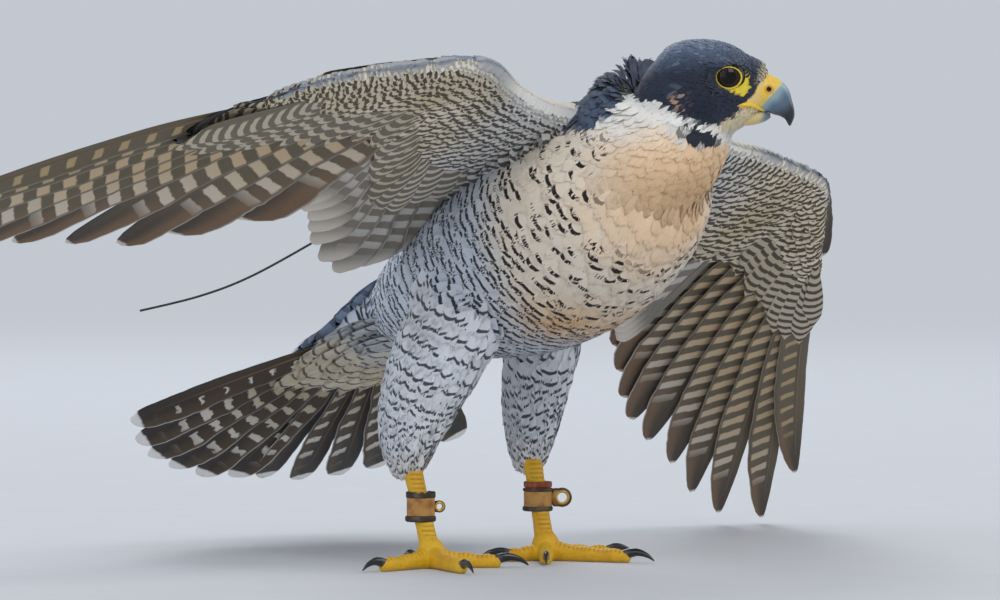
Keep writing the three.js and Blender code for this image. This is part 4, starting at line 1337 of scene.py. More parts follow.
def vane(rng, root, tip, normal, turn, outer, inner, kinds, bow=0.0, arch=0.0, lift=0.0, grade=0.0):
    """One flight feather: points, faces, the place of each point on its web, and which part it is."""
    t = 1 - (1 - np.linspace(0, 1, VANE_ROWS)) ** 1.2
    length = np.linalg.norm(tip - root)
    run = unit(tip - root)
    sideways = unit(np.cross(normal, run)) * turn
    hump = 4 * t * (1 - t)
    rise = lift * (1 - 0.4 * t)
    shaft = root + t[:, None] * (tip - root) + (bow * hump)[:, None] * sideways
    shaft = shaft + (arch * hump + rise)[:, None] * normal
    tangent = unit(np.gradient(shaft, axis=0))
    level = unit(np.cross(normal, tangent)) * turn
    face = np.cross(tangent, level) * turn
    across_way = level * cosine(LOUVRE_TILT) + face * sine(LOUVRE_TILT)
    up_way = face * cosine(LOUVRE_TILT) - level * sine(LOUVRE_TILT)
    is_outer = (VANE_ACROSS < 0)[None]
    # Barbs part a little here and there, so the rims wave
    beat = rng.uniform(0, 2 * math.pi, 4)
    wave = 1 + 0.018 * np.sin(23 * t + beat[0]) + 0.014 * np.sin(51 * t + beat[1])
    wave = wave + 0.01 * rng.normal(size=VANE_ROWS)
    share = outline(kinds, t) * wave
    widths = np.where(is_outer, outer, inner) * np.abs(VANE_ACROSS) * share[:, None]
    signed = np.where(is_outer, widths, -widths)
    rim = np.abs(VANE_ACROSS)[None] ** 3
    sag = 0.077 * widths**2 / max(outer, inner)
    sag = sag + 0.5 * rim * np.sin(17 * t + beat[2])[:, None] * np.where(is_outer, 0.3, 1)
    base = shaft[:, None] + signed[..., None] * across_way[:, None] - sag[..., None] * up_way[:, None]
    thick = VANE_THICKNESS / 2 * (1 - 0.6 * rim) * np.ones((VANE_ROWS, 1))
    top = base + thick[..., None] * up_way[:, None]
    bottom = base - thick[..., None] * up_way[:, None]
    columns = len(VANE_ACROSS)
    total = VANE_ROWS * columns
    grid = grid_faces(VANE_ROWS, columns, closed=False)
    faces = [tuple(f) for f in grid] + [tuple(f[::-1] + total) for f in grid]
    last = (VANE_ROWS - 1) * columns
    ring = [*range(columns), *range(2 * columns - 1, last + columns, columns)]
    ring += [*range(last + columns - 2, last - 1, -1), *range(last - columns, 0, -columns)]
    faces += [(p, p + total, q + total, q) for p, q in zip(ring, ring[1:] + ring[:1])]
    down = np.broadcast_to((length * (1 - t))[:, None], widths.shape)
    places = np.broadcast_to(VANE_ACROSS, widths.shape)
    web = np.stack([-signed, down, places], axis=-1).reshape(-1, 3)
    # The shaft stands proud of both faces
    ring_count, sides = 16, 8
    spots = np.linspace(0, VANE_ROWS - 3, ring_count).astype(int)
    radius = 1.1 * (1 - t[spots]) ** 0.8 * (length / 260) ** 0.5 + 0.18
    angles = np.linspace(0, 2 * math.pi, sides, endpoint=False)
    rings = (shaft[spots][:, None] + (radius[:, None] * np.cos(angles))[..., None] * level[spots][:, None]
             + (radius[:, None] * 0.85 * np.sin(angles))[..., None] * face[spots][:, None])
    quill_points, quill_faces = capped(rings)
    quill_web = np.repeat(np.stack([0 * radius, length * (1 - t[spots]), 0 * radius], axis=-1), sides, axis=0)
    part = np.zeros((2 * total + len(quill_points), 3))
    part[:, 0] = grade
    part[:total, 1] = 1
    part[2 * total:, 2] = 1
    leaf = np.vstack([top.reshape(-1, 3), bottom.reshape(-1, 3)])
    points, faces = merge([(leaf, faces), (quill_points, quill_faces)])
    return points, faces, np.vstack([web, web, quill_web]), part


def strip_map(obj, webs):
    """Each flight feather lies in its own strip of the bake map."""
    uv = []
    for i, web in enumerate(webs):
        u = (i + 0.5 + 0.45 * web[:, 0] / np.abs(web[:, 0]).max()) / len(webs)
        uv.append(np.stack([u, 0.01 + 0.98 * web[:, 1] / web[:, 1].max()], axis=1))
    uv = np.vstack(uv)
    indices = np.empty(len(obj.data.loops), np.int32)
    obj.data.loops.foreach_get("vertex_index", indices)
    layer = obj.data.uv_layers.new(name="OFBake")
    layer.data.foreach_set("uv", uv[indices].ravel())


def vane_piece(name, vanes, material, slot, *nodes):
    points, faces = merge([(points, faces) for points, faces, _, _ in vanes])
    obj = new_object(name, points, faces)
    outward(obj)
    webs = [web for _, _, web, _ in vanes]
    paint(obj, "web", np.vstack(webs))
    paint(obj, "part", np.vstack([part for _, _, _, part in vanes]))
    strip_map(obj, webs)
    return finished(obj, MATERIALS[material], slot, *nodes)


def flight_feathers(wing):
    """Root, tip, lift and widths of every flight feather, from the inmost secondary outwards."""
    feathers = []
    count = wing["secondaries"]
    primary_top = LOWEST_LIFT + PRIMARY_STEP * 9
    for i in range(count):
        place = 1 - i / (count - 1)
        feathers.append({
            "root": on_sheet(wing["arm"], along(wing["arm_roots"], place)),
            "tip": on_sheet(wing["arm"], along(wing["arm_tips"], place)),
            "normal": wing["arm"]["n"], "outer": 8, "inner": 17, "bow": 0, "covert": 0.52, "grade": -1,
            "lift": primary_top + PRIMARY_STEP + (wing["stack"] - PRIMARY_STEP) * place,
            "kinds": ("secondary", "secondary", 0),
        })
    for i, (distance, angle) in enumerate(wing["primaries"]):
        place = i / (len(wing["primaries"]) - 1)
        feathers.append({
            "root": on_sheet(wing["hand"], along(wing["hand_roots"], place)),
            "tip": on_sheet(wing["hand"], fanned(distance, angle)),
            "normal": wing["hand"]["n"], "outer": 8 - 3 * place,
            "inner": wing["web"] + wing["first_web"] * (1 - ramp(place, 0, 0.3)) - wing["web_taper"] * place,
            "bow": wing["bow"] * place, "covert": 0.46 - 0.12 * place, "grade": place,
            "lift": primary_top - PRIMARY_STEP * i,
            "kinds": (*wing["tips"], min(1, 1.6 * place)),
        })
    return feathers


def make_flight(side):
    wing = WINGS[side]
    rng = np.random.default_rng(SEED + (1 if side == "right" else 2))
    vanes = [vane(rng, f["root"], f["tip"], f["normal"], wing["turn"], f["outer"], f["inner"], f["kinds"],
                  bow=f["bow"], arch=4, lift=f["lift"], grade=f["grade"]) for f in flight_feathers(wing)]
    return vane_piece("flight_feathers_" + side, vanes, "flight", "flight_feathers", "wing_" + side)


def make_tail():
    rng = np.random.default_rng(SEED + 3)
    half = len(TAIL_LENGTHS)
    vanes = []
    for i in range(2 * half):
        place = (i + 0.5 - half) / (half - 0.5)
        rank = int(abs(i + 0.5 - half))
        a, c = fanned(TAIL_LENGTHS[rank], 90 - place * TAIL_HALF_ANGLE)
        vanes.append(vane(rng, on_sheet(TAIL, [place * 13, 18]), on_sheet(TAIL, [a, c]), TAIL["n"],
                          1 if place < 0 else -1, 7.5, 13.5, ("tail", "tail", 0), arch=1.5,
                          lift=2.6 - 1.05 * rank + (0.95 if i == half else 0), grade=rank / 5))
    return vane_piece("tail_feathers", vanes, "tail", "flight_feathers", "tail")


flight = {side: make_flight(side) for side in WINGS}
tail_feathers = make_tail()


def surface_tree(*objects):
    parts = []
    for obj in objects:
        parts.append((mesh_points(obj), [tuple(p.vertices) for p in obj.data.polygons]))
    points, faces = merge(parts)
    return BVHTree.FromPolygons(points.tolist(), faces)


skin_tree = unwrap.tree

# Axis of the trunk from the top of the neck to the root of the tail, with the reach of its flesh
TRUNK_AXIS = [
    [9.5, -121, 236, 36], [7, -114, 220, 48], [2, -99, 203, 60], [0, -74, 190, 72], [0, -42, 177, 76],
    [0, -5, 161, 74], [0, 32, 147, 64], [0, 66, 134, 52], [0, 96, 123, 38],
]


def loft_tree(parts):
    points, faces = merge(parts)
    return BVHTree.FromPolygons(points.tolist(), faces)


def lies_on(tree, point, reach=2.6):
    return tree.find_nearest(Vector(point), reach)[0] is not None


trunk_tree = loft_tree(trunk_parts())
head_tree = loft_tree(head_parts())


# Body feathers: distance between rows, length and width
BODY_PITCH = 5.9
BODY_LENGTH = 18
BODY_WIDTH = 10.2


def trunk_coat():
    """Body feathers in rows round the trunk, small at the neck, from the neck to the tail."""
    rng = np.random.default_rng(SEED + 4)
    roots, normals, ways, sizes = [], [], [], []
    steps = np.linspace(0, 1, 400)
    dense = along(TRUNK_AXIS, steps)[:, :3]
    walked = np.concatenate([[0], np.cumsum(np.linalg.norm(np.diff(dense, axis=0), axis=1))])
    travel = 0.5
    row = 0
    while travel < walked[-1]:
        place = np.interp(travel, walked, steps)
        centre, reach = along(TRUNK_AXIS, place)[:3], along(TRUNK_AXIS, place)[3]
        tangent = unit(along(TRUNK_AXIS, place + 0.01)[:3] - along(TRUNK_AXIS, place - 0.01)[:3])
        side = unit(np.array([1.0, 0, 0]) - tangent[0] * tangent)
        up = np.cross(side, tangent)
        size = float(np.interp(travel, [0, 30, 75], [0.52, 0.62, 1]))
        uneven = float(np.interp(travel, [30, 60, 85], [0.12, 0.09, 0.035]))
        pitch = BODY_PITCH * size
        count = int(2 * math.pi * reach * 0.92 / pitch)
        for k in range(count):
            angle = 2 * math.pi * (k + 0.5 * (row % 2) + rng.uniform(-0.3, 0.3)) / count
            way = side * math.cos(angle) + up * math.sin(angle) + tangent * rng.uniform(-uneven, uneven)
            hit = skin_tree.ray_cast(Vector(centre), Vector(way))
            if hit[0] is None or not lies_on(trunk_tree, hit[0]) or lies_on(head_tree, hit[0], 1.2):
                continue
            normal = np.array(hit[1])
            roots.append(hit[0])
            normals.append(normal if normal @ way > 0 else -normal)
            ways.append(tangent)
            sizes.append(size)
        travel += pitch
        row += 1
    roots, normals, ways, sizes = map(np.array, (roots, normals, ways, sizes))
    above = roots[:, 2] > np.interp(roots[:, 1], *MANTLE_EDGE) - 2
    groups = {
        "coat_back": above,
        "coat_breast": ~above & (roots[:, 1] < -70),
        "coat_flank_right": ~above & (roots[:, 1] >= -70) & (roots[:, 0] < 0),
        "coat_flank_left": ~above & (roots[:, 1] >= -70) & (roots[:, 0] >= 0),
    }
    for name, chosen in groups.items():
        look = trunk_look(roots[chosen], rng)
        small = sizes[chosen]
        # The feathers of the nape stand up behind the head
        forward, left, up = head_local(roots[chosen])
        nape = np.exp(-(((forward + 26) / 13) ** 2) - (((left - 10) / 20) ** 2)) * ramp(up, -16, -4)
        lengths = BODY_LENGTH * small * (1 - 0.45 * nape)
        widths = BODY_WIDTH * small * (1 + 0.5 * nape)
        lay_coat(name, skin_tree, roots[chosen], normals[chosen], ways[chosen], lengths, widths, look,
                 rng, height=0.35 + 12.5 * nape, camber=0.025, ragged=0.11, spread=0.11,
                 barbs=5 if name == "coat_back" else 12)


# How far the feathers of the thighs spread onto the flanks
FLANK_REACH = 6.5
# Feathers of the thighs: distance between them in a row, length and width
THIGH_PITCH = 4.6
THIGH_LENGTH = 14.5
THIGH_WIDTH = 8.6


def leg_coat(side):
    """Trousers: rows of feathers down each thigh, looser at the lower edge."""
    rng = np.random.default_rng(SEED + 5 + (side == "left"))
    rows = THIGH_ROWS[side]
    own_tree = loft_tree(thigh_parts(side))
    roots, normals, ways, over = [], [], [], []
    for row, place in enumerate(np.arange(0.02, 0.985, 0.048)):
        values = along(rows, place)
        centre, reach = values[:3], max(values[3:6])
        tangent = unit(along(rows, place + 0.01)[:3] - along(rows, place - 0.01)[:3])
        ahead = unit(np.cross(tangent, [1.0, 0, 0]))
        across = np.cross(ahead, tangent)
        count = max(8, int(2 * math.pi * reach * 0.88 / THIGH_PITCH))
        for k in range(count):
            angle = 2 * math.pi * (k + 0.5 * (row % 2) + rng.uniform(-0.2, 0.2)) / count
            way = across * math.cos(angle) + ahead * math.sin(angle)
            hit = skin_tree.ray_cast(Vector(centre), Vector(way))
            if hit[0] is None or not lies_on(own_tree, hit[0], FLANK_REACH):
                continue
            normal = np.array(hit[1])
            roots.append(hit[0])
            normals.append(normal if normal @ way > 0 else -normal)
            ways.append(tangent)
            over.append(not lies_on(own_tree, hit[0]))
    roots, normals, ways, over = map(np.array, (roots, normals, ways, over))
    low = ramp(-roots[:, 2], -75, -48)
    look = thigh_look(roots, rng)
    lengths, widths = THIGH_LENGTH - 3.5 * low, THIGH_WIDTH - 3 * low
    lay_coat("coat_thigh_" + side, skin_tree, roots, normals, ways, lengths, widths, look, rng,
             height=0.55 + 0.9 * low + 1.3 * over, camber=0.03, ragged=0.13, spread=0.13,
             barbs=11, beyond=0.28)


def scatter(obj, keep, spacing, rng):
    """Points spread evenly over part of a surface, with the direction the surface faces there."""
    mesh = obj.data
    mesh.calc_loop_triangles()
    corners = np.empty(len(mesh.loop_triangles) * 3, np.int32)
    mesh.loop_triangles.foreach_get("vertices", corners)
    corners = mesh_points(obj)[corners.reshape(-1, 3)]
    middles = corners.mean(axis=1)
    normal = np.cross(corners[:, 1] - corners[:, 0], corners[:, 2] - corners[:, 0])
    area = np.linalg.norm(normal, axis=1) / 2
    weight = np.where(keep(middles), area / spacing(middles) ** 2, 0)
    drawn = rng.choice(len(weight), int(5 * weight.sum()), p=weight / weight.sum())
    a, b = rng.uniform(0, 1, (2, len(drawn), 1))
    fold = a + b > 1
    a, b = np.where(fold, 1 - a, a), np.where(fold, 1 - b, b)
    first, second, third = (corners[drawn][:, i] for i in range(3))
    points = first + a * (second - first) + b * (third - first)
    gaps = spacing(points) * 0.82
    cell = gaps.max()
    keys = (points // cell).astype(int)
    grid, picked = {}, []
    for i in range(len(points)):
        x, y, z = keys[i]
        near = [j for dx in (-1, 0, 1) for dy in (-1, 0, 1) for dz in (-1, 0, 1)
                for j in grid.get((x + dx, y + dy, z + dz), ())]
        if near and np.min(np.sum((points[near] - points[i]) ** 2, axis=1)) < gaps[i] ** 2:
            continue
        grid.setdefault((x, y, z), []).append(i)
        picked.append(i)
    return points[picked], unit(normal[drawn[picked]])


def head_spacing(points):
    forward, _, _ = head_local(points)
    return np.interp(forward, [-30, -5, 12, 34], [1.9, 1.6, 1.25, 1.0])


def on_feathered_head(points):
    """Where the head is feathered: not at the eyes, the bare skin before them or the bill."""
    forward, left, up = head_local(points)
    side = np.abs(left)
    chosen = (np.abs(forward) < 40) & (side < 30) & (up > -26) & (up < 28)
    chosen &= ~((side > 9) & (lid_distance(forward, up) < LID_MIDDLE + 0.5))
    chosen &= ~((side > 6) & in_bare_patch(forward, up))
    chosen &= ~in_bare_bill(forward, up)
    chosen[chosen] = [lies_on(head_tree, point, 3.2) for point in points[chosen]]
    return chosen


def head_coat():
    """Small sleek feathers that run back from the bill over the head."""
    rng = np.random.default_rng(SEED + 8)
    roots, normals = scatter(skin, on_feathered_head, head_spacing, rng)
    forward, left, up = head_local(roots)
    fall = 0.1 + 0.45 * ramp(-up, -6, 14) * ramp(np.abs(left), 6, 14)
    flow = -HEAD_FORWARD[None] - UP[None] * fall[:, None]
    lengths = np.interp(forward, [-30, 0, 20, 34], [9, 7, 4.6, 2.8])
    widths = np.interp(forward, [-30, 0, 20, 34], [3.0, 2.5, 1.8, 1.2])
    look = head_look(roots, rng)
    lay_coat("coat_head", skin_tree, roots, normals, flow, lengths, widths, look, rng, BARB_BLADE, "crown",
             "head_feathers", height=0.7, sink=0.3, camber=0.15, ragged=0.05, spread=0.1)


def flow_field(feathers):
    """Direction of the feathers at any place on a wing, from the flight feathers near it."""
    starts = np.array([f["root"] for f in feathers])
    ends = np.array([f["tip"] for f in feathers])
    runs = ends - starts
    ways = unit(runs)

    def at(points):
        offset = points[:, None] - starts[None]
        share = np.clip(np.sum(offset * runs[None], axis=2) / np.sum(runs**2, axis=1)[None], -0.1, 1)
        gap = np.linalg.norm(offset - share[..., None] * runs[None], axis=2)
        weight = 1 / (gap + 4) ** 3
        return unit(np.sum(weight[..., None] * ways[None], axis=1))

    return at


# Rows of coverts, as places along the chord of a wing
COVERT_ROWS = [0.0, 0.035, 0.08, 0.135, 0.2, 0.27, 0.345, 0.425, 0.51, 0.6, 0.69, 0.79, 0.9]


def wing_coat(side):
    """Coverts in rows over and under the wing, small at its leading edge and longer behind."""
    wing = WINGS[side]
    rows = wing_rows(wing)
    feathers = flight_feathers(wing)
    field = flow_field(feathers)
    tree = surface_tree(skin, flight[side])
    outward_way = unit(on_sheet(wing["hand"], [1, 0]) - on_sheet(wing["hand"], [0, 0]))
    for face, name, looker in ((-1, "under", underwing_look), (1, "upper", upperwing_look)):
        rng = np.random.default_rng(SEED + 20 + face + 4 * (side == "left"))
        spots, chords = [], []
        for row, chord in enumerate(COVERT_ROWS):
            line = np.linspace(0, 1, 300)
            path = wing_surface(rows, line, np.full(300, chord), np.full(300, face), COAT["wing"])
            walked = np.concatenate([[0], np.cumsum(np.linalg.norm(np.diff(path, axis=0), axis=1))])
            pitch = 4.2 + 3.4 * chord
            count = int(walked[-1] / pitch)
            stops = (np.arange(count) + 0.5 * (row % 2) + 0.25) * pitch
            s = np.interp(stops, walked, line)
            spots.append(wing_surface(rows, s, np.full(count, chord), np.full(count, face), COAT["wing"]))
            chords.append(np.full(count, chord))
        roots = np.vstack(spots)
        chord = np.concatenate(chords)
        base_normal = np.repeat(wing["hand"]["n"][None] * face, len(roots), axis=0)
        near = nearest(skin_tree, roots)
        keep = np.linalg.norm(near - roots, axis=1) < 2.6
        roots, chord, base_normal = roots[keep], chord[keep], base_normal[keep]
        forward_tilt = np.interp(chord, [0, 0.06, 0.2, 0.5, 1], [1.6, 0.9, 0.4, 0.1, 0])
        back = wing["hand"]["c"]
        normals = unit(base_normal - forward_tilt[:, None] * back)
        flow = field(roots) + outward_way * (1.1 * (1 - chord) ** 3)[:, None]
        look = looker(roots, chord, rng)
        lengths, widths = 7.5 + 17 * chord, 5.6 + 5.6 * chord
        lay_coat("coverts_" + name + "_" + side, tree, roots, normals, flow, lengths, widths, look, rng,
                 COVERT_BLADE, slot="flight_feathers", height=1.4, sink=0.5, camber=0.08, spread=0.07)


def covert_vanes(side):
    """Greater coverts, one over and one under each flight feather, and the feathers of the thumb."""
    wing = WINGS[side]
    rng = np.random.default_rng(SEED + 30 + (side == "left"))
    feathers = flight_feathers(wing)
    roots = np.array([f["root"] for f in feathers])
    runs = np.array([f["tip"] - f["root"] for f in feathers])
    ups = np.array([f["normal"] for f in feathers])
    lifts = np.array([f["lift"] for f in feathers])[:, None]
    covered = np.array([f["covert"] for f in feathers])[:, None]
    for level, name, looker in ((-2.4, "under", underwing_look), (2.6, "upper", upperwing_look)):
        starts = roots + ups * (lifts + level)
        tips = roots + runs * (covered * wing["cover"]) * rng.uniform(0.95, 1.05, covered.shape)
        tips = tips + ups * (0.8 * lifts + level)
        outward_ups = ups * np.sign(level)
        middles = (starts + tips) / 2 + outward_ups * 2.2
        widths = 18 + wing["rim_width"] * ramp(np.array([f["grade"] for f in feathers]), 0.7, 1)
        points, web = blades(rng, GREATER_BLADE, starts, middles, tips, outward_ups, widths, 0.08, 0.012)
        tone, marks = looker(starts, np.full(len(starts), 1.1), rng)
        tone = blend(tone, FLIGHT, 0.3)
        marks["form"][:, :2] = (6.6, 2.9)
        marks["form"][:, 2] = rng.uniform(1.0, 5.0, len(starts))
        marks["place"][:, 0] = rng.uniform(3, 7, len(starts))
        marks["place"][:, 1] = 8
        if name == "under" and side == "right":
            marks["mark_tone"] = blend(tone, CREAM, 0.2)
            marks["form"][:, 0] = rng.uniform(6, 8.5, len(starts))
            marks["form"][:, 1] = 2.8
            marks["form"][:, 2] = rng.uniform(3, 9, len(starts))
            tone = blend(tone, FLIGHT, 0.9)
        blade_piece("greater_coverts_" + name + "_" + side, GREATER_BLADE, points, web, starts, outward_ups,
                    (tone, marks), "coat", "flight_feathers")
    hand = wing["hand"]
    thumb = [
        vane(rng, on_sheet(hand, root), on_sheet(hand, tip), hand["n"], wing["turn"], 4.5, 8,
             ("covert", "covert", 0), lift=1 + 1.3 * i, grade=1)
        for i, (root, tip) in enumerate(wing["alula"])
    ]
    vane_piece("thumb_feathers_" + side, thumb, "flight", "flight_feathers")


def tail_coverts():
    """Long coverts over and under the root of the tail."""
    rng = np.random.default_rng(SEED + 40)
    tree = surface_tree(skin, tail_feathers)
    for face, name, reach, spread_angle in ((1, "upper", 88, 44), (-1, "under", 90, 34)):
        roots, ways, lengths, starts = [], [], [], []
        for row in range(7):
            start = -18 + row * 9.5
            count = 8 + (row % 2)
            for k in range(count):
                place = (k - (count - 1) / 2) / (count / 2)
                a = place * 30
                away = fanned(1, 90 - place * spread_angle)
                roots.append(on_sheet(TAIL, [a, start, face * 14]))
                ways.append(TAIL["a"] * away[0] + TAIL["c"] * away[1])
                lengths.append(min(34, reach - start - 12 * abs(place)))
                starts.append(start)
        roots, ways, lengths = map(np.array, (roots, ways, lengths))
        normals = np.repeat(TAIL["n"][None] * face, len(roots), axis=0)
        near = nearest(tree, roots)
        khaki = blend(np.tile(tint(220, 207, 176), (len(roots), 1)), CREAM, 0.4 + 0.5 * ripple(near, 12))
        khaki = blend(khaki, FLANK, 0.8 * (1 - ramp(np.array(starts), -12, 16)))
        # The upper coverts take the rump's pale blue-grey, which is partly painted rim light
        tone = khaki if face < 0 else np.tile(RUMP_WITH_PAINTED_RIM_LIGHT, (len(roots), 1))
        marks = blank_marks(len(roots))
        marks["form"][:] = (8, 1.5, 2.6) if face < 0 else (9, 3, 1)
        marks["place"][:] = (4.5, 6.2, 0.8) if face < 0 else (4, 9, 0.5)
        marks["mark_tone"] = np.tile(MARK if face < 0 else SLATE_DARK, (len(roots), 1))
        widths = np.full(len(roots), 14.0)
        lay_coat("coverts_tail_" + name, tree, near, normals, ways, lengths, widths, (tone, marks), rng,
                 GREATER_BLADE, height=1.4, camber=0.05, ragged=0.03, barbs=14, beyond=0.08)


trunk_coat()
head_coat()
for wing_side in WINGS:
    leg_coat(wing_side)
    wing_coat(wing_side)
    covert_vanes(wing_side)
tail_coverts()


def paint_skin():
    """Gives the skin the colours of the coat that grows on it, and those of the bare face."""
    points, normals = mesh_points(skin), mesh_normals(skin)
    forward, left, up = head_local(points)
    side = np.abs(left)
    tone, _ = trunk_look(points)
    head, _ = head_look(points)
    at_head = (np.abs(forward) < 36) & (side < 30) & (up > -22) & (up < 30)
    tone = np.where(at_head[:, None], head, tone)
    legs = (points[:, 2] < 118) & (np.abs(points[:, 0]) > 8) & (points[:, 1] < 60)
    tone = np.where(legs[:, None], thigh_look(points)[0], tone)
    wide = np.abs(points[:, 0]) > 66
    wing_tone = np.where((normals[:, 2] > 0.3)[:, None], SLATE, UNDERWING * 0.7)
    tone = np.where(wide[:, None], wing_tone, tone)
    rough = ripple(points, 1.3)
    face = at_head & (side > 6)
    lores = face & in_bare_bill(forward, up)
    patch = face & in_bare_patch(forward, up)
    socket = face & (lid_distance(forward, up) < LID_MIDDLE + 1.2)
    mouth = face & (forward > 17) & (up < -10.2) & (up > -17) & (side < 15.5) & (forward + 0.8 * up > 7)
    for here, first, second, share in (
        (lores, tint(226, 196, 150), tint(238, 200, 70), 0.5 + 0.5 * rough),
        (patch, tint(240, 204, 36), tint(206, 196, 70), 0.4 + 0.4 * rough),
        (socket, tint(52, 40, 24), tint(206, 176, 44), ramp(forward, 9, 17)),
        (mouth, tint(224, 186, 150), tint(232, 200, 110), 0.5 + 0.5 * rough),
    ):
        tone = np.where(here[:, None], blend(first, second, share), tone)
    paint(skin, "tone", tone)


paint_skin()
finished(skin, MATERIALS["skin"], "body_feathers", "torso", "neck", "head", "thigh_left", "thigh_right")


# Bill, eyes and lids

UPPER_BILL_ROWS = [
    [25, -2.5, 9.6, 9.4, 9.8],
    [33, -3, 8.6, 8.7, 10.8],
    [39.2, -6, 6.8, 7.6, 9.2],
    [43.4, -10.4, 4.8, 4.5, 6.6],
    [45.6, -14.6, 3, 2.7, 3.6],
    [45.9, -18, 1.4, 1.2, 1.5],
    [45.5, -20, 0.5, 0.4, 0.5],
]
LOWER_BILL_ROWS = [
    [20, -15, 8.2, 4.2, 5],
    [28, -15.4, 6.6, 3.6, 4],
    [33, -15.2, 4.8, 2.8, 2.8],
    [36.4, -14.8, 2.2, 1.4, 1.2],
]
# The edge between cere and horn: a point of it, and the way it faces, forward and up
HORN_PLACE = [37.5, 0, -4.5]
HORN_WAY = [9.8, 0, -9.1]
# The cutting edge of the upper bill: how far forward and how high
TOMIUM = (
    [24, 27.3, 31, 34.7, 38, 39.6, 41.2, 43, 50],
    [-10, -9.8, -11.5, -13.9, -14.4, -15.4, -15.0, -17, -24],
)
# Each nostril: how far forward, how high, and its radius
NOSTRIL = (35.4, -2.2, 1.35)
# Radius of the rolled edge of the lids, and how far its middle stands proud of the eyeball
LID_TUBE = 0.48
LID_PROUD = 0.3
GAPE_LINE = [[19.6, -10.2], [22.5, -9.7], [26, -9.7], [29.5, -10.9], [33, -12.6]]


def cut(obj, place, way):
    """Keeps the part of a closed body behind a plane, and closes it there."""
    bm = bmesh.new()
    bm.from_mesh(obj.data)
    everything = bm.verts[:] + bm.edges[:] + bm.faces[:]
    found = bmesh.ops.bisect_plane(
        bm, geom=everything, plane_co=Vector(to_row(place)), plane_no=Vector(way), clear_outer=True)
    rim = [e for e in found["geom_cut"] if isinstance(e, bmesh.types.BMEdge)]
    bmesh.ops.holes_fill(bm, edges=rim)
    bm.to_mesh(obj.data)
    bm.free()


def make_upper_bill():
    """Cere and horn as one form, with cutting edge, nostrils and hook, parted where they meet."""
    place = head_point(*HORN_PLACE)
    way = head_point(*HORN_WAY) - HEAD_CENTRE
    pieces = []
    for name, sign, node in (("cere_skin", 1, "cere"), ("bill_horn_upper", -1, "bill_upper")):
        form = tube(head_rows(UPPER_BILL_ROWS), HEAD_LEFT, 190, 128, squareness=2.25)
        obj = new_object(name, *capped(form))
        outward(obj)
        cut(obj, place, way * sign)
        points = mesh_points(obj)
        forward, left, up = head_local(points)
        edge = np.interp(forward, *TOMIUM)
        # The cutting edge rolls in a little under the bill
        up = np.where(up < edge, edge + 0.15 * (up - edge), up)
        near = np.hypot(forward - NOSTRIL[0], up - NOSTRIL[1])
        at_side = np.abs(left) > 3.5
        lip = np.exp(-(((near - 1.8) / 0.45) ** 2))
        pit = at_side * (2.4 * np.clip(1 - (near / NOSTRIL[2]) ** 4, 0, 1) - 0.4 * lip)
        bead = at_side * 1.5 * np.exp(-((near / 0.45) ** 2))
        swell = 0.35 * np.exp(-(((np.abs(up + 4.5 + 0.25 * (forward - 30))) / 2.2) ** 2)) * (sign > 0)
        left = left - np.sign(left) * (pit - bead - swell)
        set_points(obj, head_point(forward, left, up))
        ahead = (points - place) @ unit(way)
        if sign > 0:
            mottled = ripple(points, 1.6)
            tone = blend(tint(238, 196, 48), tint(226, 190, 96), 0.4 + 0.3 * mottled)
            tone = blend(tone, tint(214, 186, 148), ramp(-forward, -31, -27) * ramp(up, -6, -1))
            tone = blend(tone, tint(188, 190, 150), ramp(ahead, -2.2, 0) * 0.75)
            # Painted shade: the nostril opening is painted dark brown inside its pit
            tone = blend(tone, tint(64, 34, 18), (1 - ramp(near, 0.9, 1.5)) * at_side)
            tone = blend(tone, tint(198, 128, 50), np.exp(-(((near - 1.9) / 0.5) ** 2)) * at_side * 0.7)
        else:
            streak = ripple(points, 2.3)
            tone = blend(tint(142, 166, 178), tint(84, 104, 124), ramp(ahead + 1.2 * streak, 0, 6))
            tone = blend(tone, tint(150, 168, 132), (1 - ramp(ahead, 0, 1.6)) * 0.6)
            tone = blend(tone, tint(28, 33, 42), ramp(ahead + 0.8 * streak, 5.5, 12.5))
            low = (1 - ramp(up - edge, 0.4, 3.0)) * ramp(forward, 36, 40)
            tone = blend(tone, tint(30, 36, 46), low * (0.55 + 0.4 * streak))
        paint(obj, "tone", tone)
        surface, slot = ("cere", "yellow_skin") if sign > 0 else ("horn", "bill_horn")
        pieces.append(finished(obj, FACE[surface], slot, node))
    return pieces


def make_lower_bill():
    form = tube(head_rows(LOWER_BILL_ROWS), HEAD_LEFT, 80, 72, squareness=2.2)
    obj = new_object("bill_horn_lower", *capped(form))
    outward(obj)
    points = mesh_points(obj)
    forward, left, up = head_local(points)
    set_points(obj, head_point(forward, left, np.minimum(up, np.interp(forward, *TOMIUM) + 0.4)))
    tone = blend(tint(230, 196, 122), tint(206, 190, 140), ramp(forward, 26, 31))
    tone = blend(tone, tint(96, 112, 122), ramp(forward + 0.8 * ripple(points, 2), 31, 34))
    paint(obj, "tone", tone)
    return finished(obj, FACE["horn"], "bill_horn", "bill_lower")


def pipe(path, radii, sides=14):
    """A round rod along a path of points, as points and faces."""
    rows = [[*point, radius, radius, radius] for point, radius in zip(path, radii)]
    return capped(tube(rows, UP, 6 * len(rows), sides))


